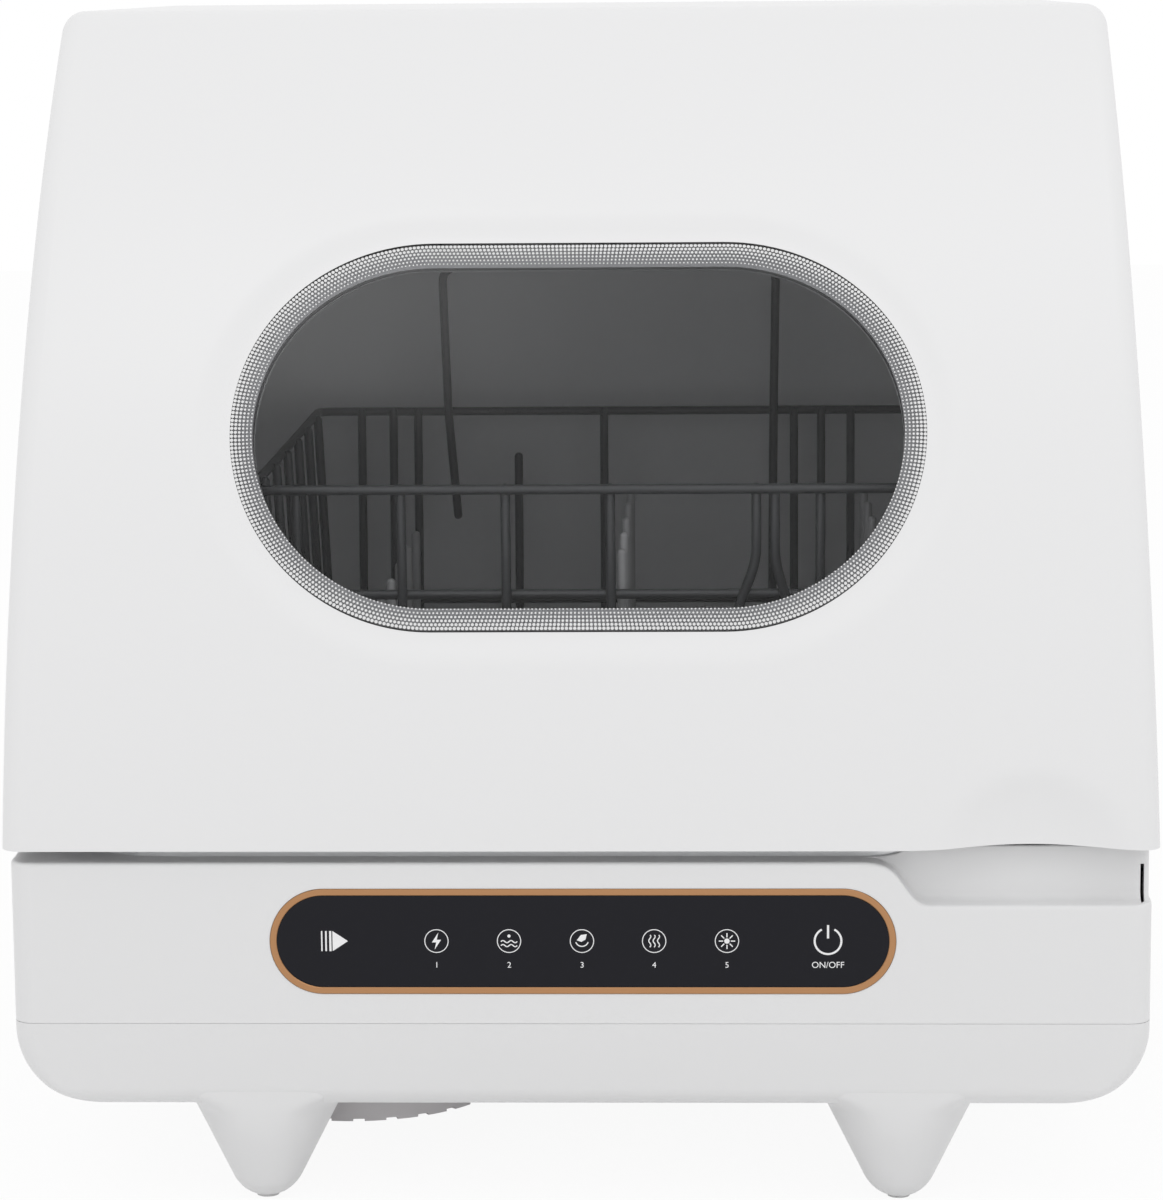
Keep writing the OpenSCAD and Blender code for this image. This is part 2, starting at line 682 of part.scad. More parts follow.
module panel_trim() color("peru") translate([0, base_front + 1.9, split_z + panel_rise]) rotate([90, 0, 0])
    linear_extrude(2.2) difference() {
        oval(panel_w, panel_h);
        oval(panel_w - 2 * trim_w, panel_h - 2 * trim_w);
    }

module panel_glass() color("black") translate([0, base_front + 1.9, split_z + panel_rise]) rotate([90, 0,
    0])
    linear_extrude(1.8) oval(panel_w - 2 * trim_w - 0.2, panel_h - 2 * trim_w - 0.2);

touch_w = 206;
touch_h = 22;
module touch_board() color("darkgreen") translate([0, base_front + base_wall + seat, split_z +
    panel_rise]) {
    translate([-touch_w / 2, 0, -touch_h / 2]) cube([touch_w, 1.6, touch_h]);
    // seven touch springs that press on the back of the glass
    for (i = [-3:3]) translate([i * 27, 0, 0]) rotate([90, 0, 0]) cylinder(r = 4, h = base_wall +
        seat - 1.9 - 0.05);
}

// ---------- tub ----------

module tub_outline(d) polygon(rounded(-tub_w / 2 - d, tub_w / 2 + d, tub_front - d, tub_back + d, tub_r +
    d));

duct_at = [164, arm_centre[1] - 14];
duct_w = 20;
duct_l = 34;
nozzle_at = [inlet_x, 70];

module wash_tub() color("gainsboro") difference() {
    union() {
        translate([0, 0, under_floor]) linear_extrude(deck_z - under_floor) tub_outline(tub_wall);
        translate([0, 0, deck_z]) linear_extrude(rim_t) tub_outline(tub_rim);
    }
    translate([0, 0, tub_floor]) linear_extrude(tub_depth + over) tub_outline(0);
    translate([arm_centre[0], arm_centre[1], under_floor - over]) cylinder(r = riser_r + run,
        h = floor_t + 2 * over);
    translate([well_at[0], well_at[1], under_floor - over]) cylinder(r = well_r, h = floor_t + 2 * over);
    translate([duct_at[0] - duct_w / 2 - 0.1, duct_at[1] - duct_l / 2 - 0.1, under_floor - over])
        cube([duct_w + 0.2, duct_l + 0.2, floor_t + 2 * over]);
    translate([nozzle_at[0], nozzle_at[1], under_floor - over]) cylinder(r = tube_r + run, h = floor_t +
        2 * over);
    for (s = [-1, 1]) translate([arm_centre[0] + s * heater_end[0], arm_centre[1] + heater_end[1],
        under_floor - over])
        cylinder(r = sleeve_r + run, h = floor_t + 2 * over);
}

// Bulb seal on the tub's rim
module tub_seal() color("gray") translate([0, 0, deck_z + rim_t]) {
    linear_extrude(3) difference() {
        tub_outline(7);
        tub_outline(1.5);
    }
    linear_extrude(flange_z - deck_z - rim_t - seat) difference() {
        tub_outline(6);
        tub_outline(2.5);
    }
}

module sump() color("gray") translate([well_at[0], well_at[1], 0]) difference() {
    union() {
        translate([0, 0, well_bottom]) cylinder(r = well_r + 2, h = under_floor - well_bottom);
        translate([0, 0, under_floor - 2.5]) cylinder(r = well_r + 9, h = 2.5);
        translate([0, 0, suction_z]) rotate([0, -90, 0]) cylinder(r = tube_r + 2, h = well_r + 12);
        translate([0, 0, drain_z]) rotate([0, 90, 0]) cylinder(r = 9, h = drain_x - well_at[0] - 9);
    }
    translate([0, 0, well_bottom + 2]) cylinder(r = well_r, h = under_floor);
    translate([0, 0, suction_z]) rotate([0, -90, 0]) cylinder(r = tube_r - tube_wall, h = well_r + 14);
    translate([-well_r - 6, 0, suction_z]) rotate([0, -90, 0]) cylinder(r = tube_r + run, h = 8);
    translate([0, 0, drain_z]) rotate([0, 90, 0]) cylinder(r = 6, h = drain_x - well_at[0]);
}

cup_r = 24;
module filter_plate() color("silver") translate([well_at[0], well_at[1], tub_floor]) linear_extrude(1.2)
    difference() {
    circle(r = well_r + 7);
    circle(r = cup_r + 0.4);
    for (i = [0:23]) rotate(i * 15) translate([cup_r + 8, 0]) circle(r = 1.6, $fn = 6);
}

// Lift-out filter cup with a cross grip: it turns to lock
module filter_cup() color("dimgray") translate([well_at[0], well_at[1], 0]) {
    difference() {
        union() {
            translate([0, 0, well_bottom + 3]) cylinder(r = cup_r, h = tub_floor + 1.4 - well_bottom - 3);
            translate([0, 0, tub_floor + 1.4]) cylinder(r = cup_r + 3, h = 1.6);
        }
        translate([0, 0, well_bottom + 4.5]) cylinder(r = cup_r - 1.6, h = tub_depth + 40);
        for (i = [0:11]) rotate(i * 30) translate([cup_r - 4, -2, well_bottom + 8]) cube([6, 4, 20]);
    }
    translate([-cup_r + 1, -1.5, tub_floor - 4]) cube([2 * cup_r - 2, 3, 12]);
    translate([-1.5, -cup_r + 1, tub_floor - 4]) cube([3, 2 * cup_r - 2, 12]);
}

// Looped tube element; its two ends drop through the floor in sleeves
module heater() color("gray") translate([arm_centre[0], arm_centre[1], 0]) {
    z = tub_floor + heater_r + 0.3;
    translate([0, 0, z]) rotate(90 + heater_open) rotate_extrude(angle = 360 - 2 * heater_open)
        translate([heater_loop_r, 0]) circle(r = heater_r);
    for (s = [-1, 1]) translate([s * heater_end[0], heater_end[1], under_floor - 12])
        cylinder(r = sleeve_r, h = z + sleeve_r - under_floor + 12);
}

module spray_riser() color("gray") translate([arm_centre[0], arm_centre[1], 0]) difference() {
    union() {
        translate([0, 0, pump_z + 2]) cylinder(r = riser_r, h = arm_z - pump_z - 2 - seat);
        translate([0, 0, arm_z - seat - tiny]) cylinder(r = spindle_r, h = arm_h + 2 * seat + 3);
        translate([0, 0, under_floor - 2.5]) cylinder(r = riser_r + 6, h = 2.5);
        rotate(delivery_a + 180) translate([0, 0, delivery_z]) rotate([0, 90, 0]) cylinder(r = tube_r + 2,
            h = riser_r + 12);
    }
    translate([0, 0, delivery_z - 3]) cylinder(r = spindle_r - 2, h = arm_z + arm_h - delivery_z - 2);
    for (a = [0:90:270]) rotate(a) translate([0, 0, arm_z + 3]) rotate([0, 90, 0]) cylinder(r = 2,
        h = spindle_r + 2);
    rotate(delivery_a + 180) translate([0, 0, delivery_z]) rotate([0, 90, 0]) {
        cylinder(r = tube_r - tube_wall, h = riser_r + 14);
        translate([0, 0, riser_r + 4]) cylinder(r = tube_r + run, h = 10);
    }
}

module spray_nut() color("gray") translate([arm_centre[0], arm_centre[1], arm_z + arm_h + seat])
    difference() {
    union() {
        cylinder(r = spindle_r + 4, h = 4);
        translate([0, 0, 4 - tiny]) cylinder(r = spindle_r, h = 2);
    }
    translate([0, 0, -over]) cylinder(r = spindle_r + 0.02, h = over + 3 + seat);
}

module spray_arm() color("gray") translate([arm_centre[0], arm_centre[1], arm_z]) difference() {
    union() {
        cylinder(r = spindle_r + 7, h = arm_h);
        for (s = [0, 1]) rotate(180 * s + 24) {
            linear_extrude(arm_h - 2) {
                polygon([[0, -arm_w / 2], [arm_r - arm_w / 3, -arm_w / 3], [arm_r - arm_w / 3, arm_w / 3],
                    [0, arm_w / 2]]);
                translate([arm_r - arm_w / 3, 0]) circle(r = arm_w / 3);
            }
            linear_extrude(arm_h - 0.5) translate([0, -arm_w / 6]) square([arm_r - arm_w / 3, arm_w / 3]);
        }
    }
    translate([0, 0, -over]) cylinder(r = spindle_r + run, h = arm_h + 2 * over);
    // water way along each blade and its jets
    for (s = [0, 1]) rotate(180 * s + 24) {
        translate([spindle_r - 1, -3, 2]) cube([arm_r - spindle_r - 8, 6, 3.2]);
        for (i = [0:4]) translate([32 + i * 25, (i % 2 == 0 ? -1 : 1) * 1.5, 3]) cylinder(r = 1.2,
            h = arm_h, $fn = 8);
    }
}

// ---------- wash pump ----------

delivery_v = [arm_centre[0] - pump_at[0], arm_centre[1] - pump_at[1]];
delivery_a = atan2(delivery_v[1], delivery_v[0]);

module pump_housing() color("gray") translate([pump_at[0], pump_at[1], 0]) difference() {
    union() {
        translate([0, 0, pump_z]) cylinder(r = pump_r, h = chamber_h);
        translate([0, 0, pump_z + chamber_h - tiny]) cylinder(r = 24,
            h = under_floor - 1.5 - pump_z - chamber_h);
        translate([0, 0, suction_z]) rotate([0, 90, 0]) cylinder(r = tube_r + 2, h = 36);
        rotate(delivery_a) translate([0, 0, delivery_z]) rotate([0, 90, 0]) cylinder(r = tube_r + 2 - 1.6,
            h = pump_r + 12);
    }
    translate([0, 0, pump_z + 2]) cylinder(r = pump_r - 3, h = chamber_h - 4);
    translate([0, 0, pump_z - over]) cylinder(r = shaft_r + 2.5, h = 4);
    translate([0, 0, pump_z + 2]) cylinder(r = 14, h = under_floor - 5.5 - pump_z);
    translate([0, 0, suction_z]) rotate([0, 90, 0]) cylinder(r = tube_r - tube_wall, h = 38);
    translate([30, 0, suction_z]) rotate([0, 90, 0]) cylinder(r = tube_r + run, h = 8);
    rotate(delivery_a) translate([0, 0, delivery_z]) rotate([0, 90, 0]) {
        cylinder(r = tube_r - tube_wall - 1, h = pump_r + 14);
        translate([0, 0, pump_r + 4]) cylinder(r = tube_r - 1.6 + run, h = 10);
    }
}

module pump_motor() color("dimgray") translate([pump_at[0], pump_at[1], 0]) difference() {
    union() {
        translate([0, 0, motor_z]) cylinder(r = motor_r, h = pump_z - 4 - motor_z);
        translate([0, 0, pump_z - 4 - tiny]) cylinder(r = pump_r - 6, h = 4);
        for (a = [45:90:315]) rotate(a) translate([pump_r - 10, 0, pump_z - 4 - tiny]) cylinder(r = 5,
            h = 4);
    }
    translate([0, 0, motor_z + 3]) cylinder(r = shaft_r + run, h = pump_z);
    translate([0, 0, motor_z + 7]) cylinder(r = shaft_r + 3, h = pump_z - 14 - motor_z);
    for (i = [0:11]) rotate(i * 30) translate([motor_r - 3, -2, motor_z + 8]) cube([5, 4,
        pump_z - 24 - motor_z]);
}

module pump_rotor() color("silver") translate([pump_at[0], pump_at[1], 0]) {
    translate([0, 0, motor_z + 4]) cylinder(r = shaft_r, h = pump_z + 6 - motor_z - 4);
    translate([0, 0, pump_z + 5]) {
        cylinder(r = pump_r - 8, h = 2);
        cylinder(r = 9, h = 8);
        for (i = [0:5]) rotate(i * 60) translate([7, -0.8, 1]) cube([pump_r - 17, 1.6, 6]);
    }
}

// Round cover under the tray: its notched rim is turned by hand
module motor_cover() color("darkgray") translate([pump_at[0], pump_at[1], tray_z - cover_h]) difference() {
    union() {
        cylinder(r = cover_r, h = cover_h - 0.05, $fn = 96);
        translate([0, 0, cover_h - 1]) cylinder(r = cover_r - 5.2, h = base_wall + 1);
    }
    translate([0, 0, 5]) cylinder(r = cover_r - 7.4, h = cover_h + 10, $fn = 96);
    translate([0, 0, -over]) cylinder(r = cover_r - 3, h = over + 2.4, $fn = 96);
    for (i = [0:cover_notches - 1]) rotate((i + 0.5) * 360 / cover_notches) translate([cover_r - 5, -2.2,
        -over])
        cube([8, 4.4, over + 0.9]);
}

suction_from = well_at[0] - well_r - 7;
suction_to = pump_at[0] + 31;
module suction_tube() color("white") difference() {
    rod([suction_to, well_at[1], suction_z], [suction_from, well_at[1], suction_z], tube_r);
    rod([suction_to - over, well_at[1], suction_z], [suction_from + over, well_at[1], suction_z],
        tube_r - tube_wall);
}

module delivery_tube() color("white") translate([pump_at[0], pump_at[1], delivery_z]) rotate([0, 90,
    delivery_a]) {
    far = norm(delivery_v) - riser_r - 5;
    difference() {
        union() {
            translate([0, 0, pump_r + 5]) cylinder(r = tube_r - 1.6, h = far - pump_r - 5);
            translate([0, 0, pump_r + 14]) cylinder(r = tube_r, h = far - pump_r - 14);
        }
        translate([0, 0, pump_r]) cylinder(r = tube_r - tube_wall - 1.6, h = far);
    }
}

// ---------- drain ----------

module drain_pump_housing() color("gray") translate([drain_x, well_at[1], drain_z]) difference() {
    union() {
        translate([-9 + seat, 0, 0]) rotate([0, 90, 0]) cylinder(r = drain_chamber_r, h = 18);
        translate([0, 0, drain_rise]) rotate([-90, 0, 0]) cylinder(r = tube_r, h = drain_chamber_r + 8);
    }
    translate([-7 + seat, 0, 0]) rotate([0, 90, 0]) cylinder(r = drain_chamber_r - 2.5, h = 13);
    translate([-10, 0, 0]) rotate([0, 90, 0]) cylinder(r = 6, h = 6);
    translate([4, 0, 0]) rotate([0, 90, 0]) cylinder(r = 4, h = 8);
    translate([0, 2 * tube_wall, drain_rise]) rotate([-90, 0, 0]) cylinder(r = tube_r - tube_wall - 1.5,
        h = drain_chamber_r + 10);
}

drain_motor_l = 34;
module drain_motor() color("dimgray") translate([drain_x + 9 + seat, well_at[1], drain_z]) rotate([0, 90,
    0]) difference() {
    union() {
        cylinder(r = drain_chamber_r - 3, h = drain_motor_l);
        for (s = [-1, 1]) translate([s * 11 - 2, -drain_chamber_r - 2, 4]) cube([4, 2 * drain_chamber_r +
            4, 4]);
    }
    translate([0, 0, -over]) cylinder(r = 2 + run, h = drain_motor_l - 3);
}

module drain_rotor() color("silver") translate([drain_x - 5 + seat, well_at[1], drain_z]) rotate([0, 90,
    0]) {
    translate([0, 0, 2]) cylinder(r = 2, h = 12 + drain_motor_l - 8);
    translate([0, 0, 1]) cylinder(r = 5, h = 8);
    for (i = [0:5]) rotate(i * 60) translate([3, -0.8, 1]) cube([13, 1.6, 8]);
}

module drain_tube() color("white") difference() {
    z = drain_z + drain_rise;
    rod([drain_x, well_at[1] + drain_chamber_r + 8, z], [drain_x, back_y - port_depth - base_wall - 8, z],
        tube_r);
    rod([drain_x, well_at[1], z], [drain_x, back_y, z], tube_r - tube_wall);
}

// Barbed hose spigot in its pocket
module drain_outlet() color("gray") translate([drain_x, back_y - port_depth - base_wall - 8, drain_z +
    drain_rise])
    rotate([-90, 0, 0]) difference() {
        union() {
            cylinder(r = drain_r, h = port_depth + base_wall + 6);
            // shoulder through the pocket's wall, and the flange behind it
            cylinder(r = drain_r + shoulder, h = base_wall + 8);
            translate([0, 0, 4]) cylinder(r = drain_r + 5, h = 4);
        }
        translate([0, 0, -over]) cylinder(r = drain_r - 2, h = port_depth + base_wall + 10);
    }

// ---------- water inlet ----------

module inlet_valve() color("white") translate([inlet_x, back_y - port_depth - base_wall, 0]) difference() {
    union() {
        translate([0, 0, inlet_z]) rotate([-90, 0, 0]) {
            cylinder(r = inlet_r, h = port_depth + base_wall - 3);
            cylinder(r = inlet_r + shoulder, h = base_wall);
        }
        translate([-18, -17, inlet_z - 18]) cube([36, 17, 29]);
        translate([0, -31, feed_z]) rotate([-90, 0, 0]) cylinder(r = tube_r + 1.6, h = 15);
    }
    translate([0, -12, inlet_z]) rotate([-90, 0, 0]) cylinder(r = inlet_r - 3, h = 60);
    translate([0, -33, feed_z]) rotate([-90, 0, 0]) cylinder(r = tube_r - tube_wall, h = 30);
    translate([0, -33, feed_z]) rotate([-90, 0, 0]) cylinder(r = tube_r + run, h = 10);
}

module inlet_tube() color("white") difference() {
    union() {
        rod([inlet_x, nozzle_at[1], feed_z], [inlet_x, back_y - port_depth - base_wall - 24, feed_z],
            tube_r);
        translate([inlet_x, nozzle_at[1], feed_z - tube_r - 2]) cylinder(r = tube_r + 1.5, h = 2 *
            tube_r + 4);
        translate([inlet_x, nozzle_at[1], feed_z]) cylinder(r = tube_r, h = tub_floor + 9 - feed_z);
    }
    rod([inlet_x, nozzle_at[1], feed_z], [inlet_x, back_y, feed_z], tube_r - tube_wall - 0.5);
    translate([inlet_x, nozzle_at[1], feed_z - tube_r]) cylinder(r = tube_r - tube_wall, h = tub_depth +
        30);
}

// ---------- dryer ----------

module fan_housing() color("gray") translate([fan_at[0], fan_at[1], fan_z]) difference() {
    union() {
        cylinder(r = fan_r, h = fan_h);
        translate([-2, duct_at[1] + duct_l / 2 - fan_at[1] + seat, 0]) cube([26,
            fan_at[1] - duct_at[1] - duct_l / 2 - 10, fan_h]);
        for (a = [90, 210]) rotate(a) translate([fan_r + 2, 0, -fan_z + tray_z + base_wall])
            cylinder(r = 4, h = fan_z - tray_z + 4);
    }
    translate([0, 0, 1.6]) cylinder(r = fan_r - 1.6, h = fan_h - 3.2);
    translate([-0.4, duct_at[1] + duct_l / 2 - fan_at[1] - over, 1.6]) cube([22.8,
        fan_at[1] - duct_at[1] - duct_l / 2 - 10, fan_h - 3.2]);
    translate([0, 0, -over]) cylinder(r = 18, h = 4);
    translate([0, 0, fan_h - 3]) cylinder(r = 5, h = 5);
}

module fan_motor() color("dimgray") translate([fan_at[0], fan_at[1], fan_z + fan_h]) difference() {
    cylinder(r = 15, h = 16);
    translate([0, 0, -over]) cylinder(r = 2 + run, h = 12);
}

module fan_rotor() color("silver") translate([fan_at[0], fan_at[1], fan_z + 3]) {
    cylinder(r = 2, h = fan_h + 7);
    translate([0, 0, fan_h - 8]) cylinder(r = fan_r - 5, h = 1.6);
    for (i = [0:15]) rotate(i * 22.5) translate([fan_r - 11, -0.6, 0]) cube([6, 1.2, fan_h - 7]);
}

// Duct from the fan into the tub, with a hood over its mouth
module air_duct() color("gray") translate([duct_at[0] - duct_w / 2, duct_at[1] - duct_l / 2, 0])
    difference() {
    translate([0, 0, fan_z]) cube([duct_w, duct_l, tub_floor + 22 - fan_z]);
    translate([1.6, 1.6, fan_z + 1.6]) cube([duct_w - 3.2, duct_l - 3.2, tub_floor + 22 - fan_z - 3.2]);
    translate([1.6, duct_l - 3, fan_z + 1.6]) cube([duct_w - 3.2, 5, fan_h - 3.2]);
    for (i = [0:3]) translate([-over, 3 + i * 7.4, tub_floor + 8]) cube([over + 3, 4, 10]);
}

module rear_vent() color("gray") translate([-vent_w / 2 + 20 + seat, back_y - 6, vent_z + seat]) {
    w = vent_w - 2 * seat;
    h = vent_h - 2 * seat;
    difference() {
        cube([w, 6, h]);
        translate([3, -over, 3]) cube([w - 6, 8, h - 6]);
    }
    for (i = [0:4]) translate([2, 0.5, 5 + i * 4.4]) rotate([30, 0, 0]) cube([w - 4, 5, 1.4]);
}

// ---------- electrics ----------

board_at = [24 - base_hw + boss_r + 3, -4];
board_w = 100;
board_l = 112;
board_z = tray_z + base_wall + 9;
board_posts = [for (x = [6, board_w - 6]) for (y = [6, board_l - 6]) [board_at[0] + x, board_at[1] + y]];

module main_board() color("darkgreen") {
    difference() {
        translate([board_at[0], board_at[1], board_z]) cube([board_w, board_l, 1.6]);
        for (p = board_posts) translate([p[0], p[1], board_z - over]) cylinder(r = 1.6, h = 4);
    }
    for (p = board_posts) translate([p[0], p[1], tray_z + base_wall]) cylinder(r = 3.4,
        h = board_z - tray_z - base_wall);
    for (i = [0:3]) translate([board_at[0] + 14 + i * 20, board_at[1] + 16, board_z + 1.6 - tiny])
        cube([14, 19, 15]);
    for (i = [0:1]) translate([board_at[0] + 20 + i * 16, board_at[1] + 62, board_z + 1.6 - tiny])
        cylinder(r = 6, h = 18);
}

module transformer() color("goldenrod") translate([board_at[0] + 54, board_at[1] + 54, board_z + 1.6]) {
    translate([0, 0, 3]) cube([36, 30, 14]);
    translate([7, -4, 1.5]) cube([22, 38, 17]);
    for (x = [4, 28]) translate([x, 6, 0]) cube([4, 18, 5]);
}

module cord_gland() color("dimgray") translate([gland_x - 20, back_y, 0]) difference() {
    union() {
        translate([-gland_w / 2, -10, split_z + 0.1]) cube([gland_w, 10, gland_z + 6.9 - split_z]);
        translate([-10, -base_wall - 3.1, split_z + 0.1]) cube([20, 3, gland_z + 10 - split_z]);
    }
    translate([0, over, gland_z]) rotate([90, 0, 0]) cylinder(r = 4, h = 14);
}

module lid_switch() color("dimgray") translate([-60, tub_front - tub_wall - 8, deck_z - base_wall - 8.2])
    translate([-10, -3.5, 0]) cube([20, 7, 8]);

// ---------- rack ----------

rim_z = tub_floor + rack_h;
rack_low = arm_z + arm_h + 10;
frame_top = rim_z + 64;
bend_r = 7;

// One wire, kept as a plain hull so that the whole rack is a single mesh
module wire(a, b, r = wire_r) hull() for (p = [a, b]) translate(p) sphere(r = r, $fn = 6);
module path(points) for (i = [0:len(points) - 2]) wire(points[i], points[i + 1]);
function loop(x0, x1, y0, y1, z, n = 3) = [for (p = concat(rounded(x0, x1, y0, y1, bend_r, n),
    [rounded(x0, x1, y0, y1, bend_r, n)[0]])) [p[0], p[1], z]];

row_x = [-77, 15, 114];
rail_y = [for (i = [0:4]) rack_front + 13 + i * tine_pitch];
weld = 1.35 * wire_r;       // crossing wires of one mat sink into each other a little where they are welded
touch = 2 * wire_r + 0.1;   // neighbouring mats meet wire beside wire
rack_in = 6;                // how far the sides draw in towards the floor

// Rim, foot rail and both corner bends of an end mat
module rack_end(y, in, s) {
    bend = [for (a = [0:30:90]) [bend_r * (1 - sin(a)), bend_r * (1 - cos(a))]];
    for (m = [[rim_z, 0], [rack_low, rack_in]]) let (x0 = rack_left + m[1], x1 = rack_right - m[1],
        yy = y + s * m[1])
        path(concat([for (i = [3:-1:0]) [x0 + bend[i][0], yy + s * bend[i][1], m[0]]],
            [for (i = [0:3]) [x1 - bend[i][0], yy + s * bend[i][1], m[0]]]));
}
// Upright of an end mat from the foot rail to the rim
module upright(x, y, s, top = rim_z) wire([x, y + s * (weld + rack_in), rack_low], [x, y + s * weld, top]);

// Level wire across an end mat, on the inner side of its uprights
module cross_wire(y, s, z) let (yy = y + s * (2 * weld + rack_in * (rim_z - z) / (rim_z - rack_low)))
    wire([rack_left + 14, yy, z], [rack_right - 14, yy, z]);

module dish_rack() color("dimgray") {
    // front mat
    rack_end(rack_front, rack_in, 1);
    for (i = [0:6]) upright(rack_left + 30 + i * (rack_right - rack_left - 60) / 6, rack_front, 1);
    cross_wire(rack_front, 1, rim_z - 41);
    // back mat, with the tall frame that plates lean on
    rack_end(rack_back, rack_in, -1);
    for (x = [-112, -100, -89, 3, 62, 90, 104, 118]) upright(x, rack_back, -1);
    upright(-36, rack_back, -1, rim_z - 20);
    path([[-65, rack_back - weld - rack_in, rack_low], [-67, rack_back - weld, rim_z],
        [-69, rack_back - weld, frame_top - 10], [-61, rack_back - weld, frame_top],
        [70, rack_back - weld, frame_top], [78, rack_back - weld, frame_top - 10],
        [77, rack_back - weld, rim_z], [76, rack_back - weld - rack_in, rack_low]]);
    cross_wire(rack_back, -1, rim_z - 83);
    // side mats
    for (s = [-1, 1]) let (x = s < 0 ? rack_left : rack_right, y0 = rack_front + bend_r + touch,
        y1 = rack_back - bend_r - touch) {
        wire([x, y0, rim_z], [x, y1, rim_z]);
        wire([x - s * rack_in, y0 + rack_in, rack_low], [x - s * rack_in, y1 - rack_in, rack_low]);
        for (i = [0:5]) let (y = y0 + 12 + i * (y1 - y0 - 24) / 5)
            wire([x - s * weld, y, rim_z], [x - s * (weld + rack_in), y, rack_low]);
    }
    // floor mat
    x0 = rack_left + rack_in + weld + touch;
    x1 = rack_right - rack_in - weld - touch;
    y0 = rack_front + rack_in + weld + touch;
    y1 = rack_back - rack_in - weld - touch;
    for (i = [0:8]) let (x = x0 + 12 + i * (x1 - x0 - 24) / 8)
        wire([x, y0, rack_low - weld], [x, y1, rack_low - weld]);
    for (i = [0:4]) let (y = y0 + 14 + i * (y1 - y0 - 28) / 4) wire([x0, y, rack_low], [x1, y, rack_low]);
}

// Plastic feet clipped onto the foot rails; they stand on the tub's floor
module rack_feet() color("gray") for (x = [rack_left + 19, rack_right - 20])
    for (y = [rack_front + rack_in, rack_back - rack_in]) difference() {
        translate([x, y, tub_floor + 0.02]) cylinder(r = 4, h = rack_low + 0.8 - tub_floor);
        rod([x - 6, y, rack_low], [x + 6, y, rack_low], wire_r + 0.06);
    }

// Three rows of tines, each on a rail that clips onto the rack's floor
module plate_tines() color("dimgray") for (i = [0:2]) let (x = row_x[i], z = rack_low + touch - 0.4,
    h = i == 0 ? tine_h - 18 : tine_h) {
    wire([x, rail_y[0], z], [x, rail_y[4] + 4, z]);
    for (y = rail_y) wire([x, y, z + 0.4], [x, y + 4, rack_low + h]);
}

// Basket for knives and forks with two cells and a drained floor, in the front left corner of the rack
basket_h = 54;
module cutlery_basket() color("dimgray") {
    w = 34;
    l = 70;
    t = 1.8;
    cell = l / 2 - 1.5 * t;
    translate([rack_left + 9 + wire_r, rack_front + 18, rack_low + 0.87 * wire_r + 0.1]) difference() {
        cube([w, l, basket_h]);
        for (y = [t, l / 2 + t / 2]) translate([t, y, 1.6]) cube([w - 2 * t, cell, basket_h]);
        for (i = [0:2]) for (j = [0:5]) translate([4.5 + i * 9.5, 4 + j * 10.9, -over]) cube([6, 7, 4]);
    }
}

base_housing();
bottom_tray();
foot_pads();
tray_screws();
panel_trim();
panel_glass();
touch_board();
wash_tub();
tub_seal();
sump();
filter_plate();
heater();
spray_riser();
spray_nut();
suction_tube();
delivery_tube();
pump_housing();
pump_motor();
motor_cover();
drain_pump_housing();
drain_motor();
drain_tube();
drain_outlet();
inlet_valve();
inlet_tube();
fan_housing();
fan_motor();
air_duct();
rear_vent();
main_board();
transformer();
cord_gland();
lid_switch();
hinge_brackets();
hinge_screws();
hinge_dampers();
dish_rack();
rack_feet();
plate_tines();
cutlery_basket();
hood_shell();
hood_liner();
window_pane();
window_seal();
hood_magnet();
hinge_arms();
hinge_pins();
hood_screws();
spray_arm();
filter_cup();
pump_rotor();
drain_rotor();
fan_rotor();
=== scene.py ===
"""Looks of the countertop dishwasher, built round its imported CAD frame. Lengths below are in mm."""

import json
import math

import bmesh
import bpy
import numpy as np
from mathutils import Matrix, Vector


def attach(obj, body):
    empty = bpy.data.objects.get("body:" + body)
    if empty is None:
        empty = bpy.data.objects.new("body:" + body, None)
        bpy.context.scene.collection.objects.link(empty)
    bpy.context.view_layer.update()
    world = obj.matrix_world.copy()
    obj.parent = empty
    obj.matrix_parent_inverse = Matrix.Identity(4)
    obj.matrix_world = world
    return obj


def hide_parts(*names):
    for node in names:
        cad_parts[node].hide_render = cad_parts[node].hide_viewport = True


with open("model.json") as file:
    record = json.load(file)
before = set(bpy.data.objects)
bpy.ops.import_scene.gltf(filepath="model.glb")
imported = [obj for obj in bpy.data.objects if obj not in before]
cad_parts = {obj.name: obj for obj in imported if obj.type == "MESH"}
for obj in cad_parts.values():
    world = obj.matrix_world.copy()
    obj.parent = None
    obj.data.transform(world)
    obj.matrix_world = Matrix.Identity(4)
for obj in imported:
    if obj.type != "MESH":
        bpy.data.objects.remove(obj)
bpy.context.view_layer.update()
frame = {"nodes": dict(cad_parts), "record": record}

# ---------------------------------------------------------------- hood_shell
# The white lift-up hood: one moulding whose front is a long curve, with a smooth dish round the oval
# window and a shallow scoop for the fingers at its lower right. It is a thin wall, open below.
HOOD_Z, TOP_Z = 136.5, 440.0
R, CY, CZ = 440.0, -205 + 440 * math.cos(math.radians(1)), 136.5 - 440 * math.sin(math.radians(1))
WIN_Z = HOOD_Z + 151.5
WIN_A = math.asin((WIN_Z - CZ) / R)
PANE_W, PANE_H, DISH, DISH_W = 256.0, 148.0, 2.4, 14.0
# the scoop is a ball's dent at the lower edge, 33 from its middle to its edge and 5 deep
HOOD_T, FRONT_R, SCOOP_X, HOOD_FACE = 2.6, 14.0, 166, -205
BALL = (33 ** 2 + 5 ** 2) / 10
BALL_Y = HOOD_FACE - BALL + 5


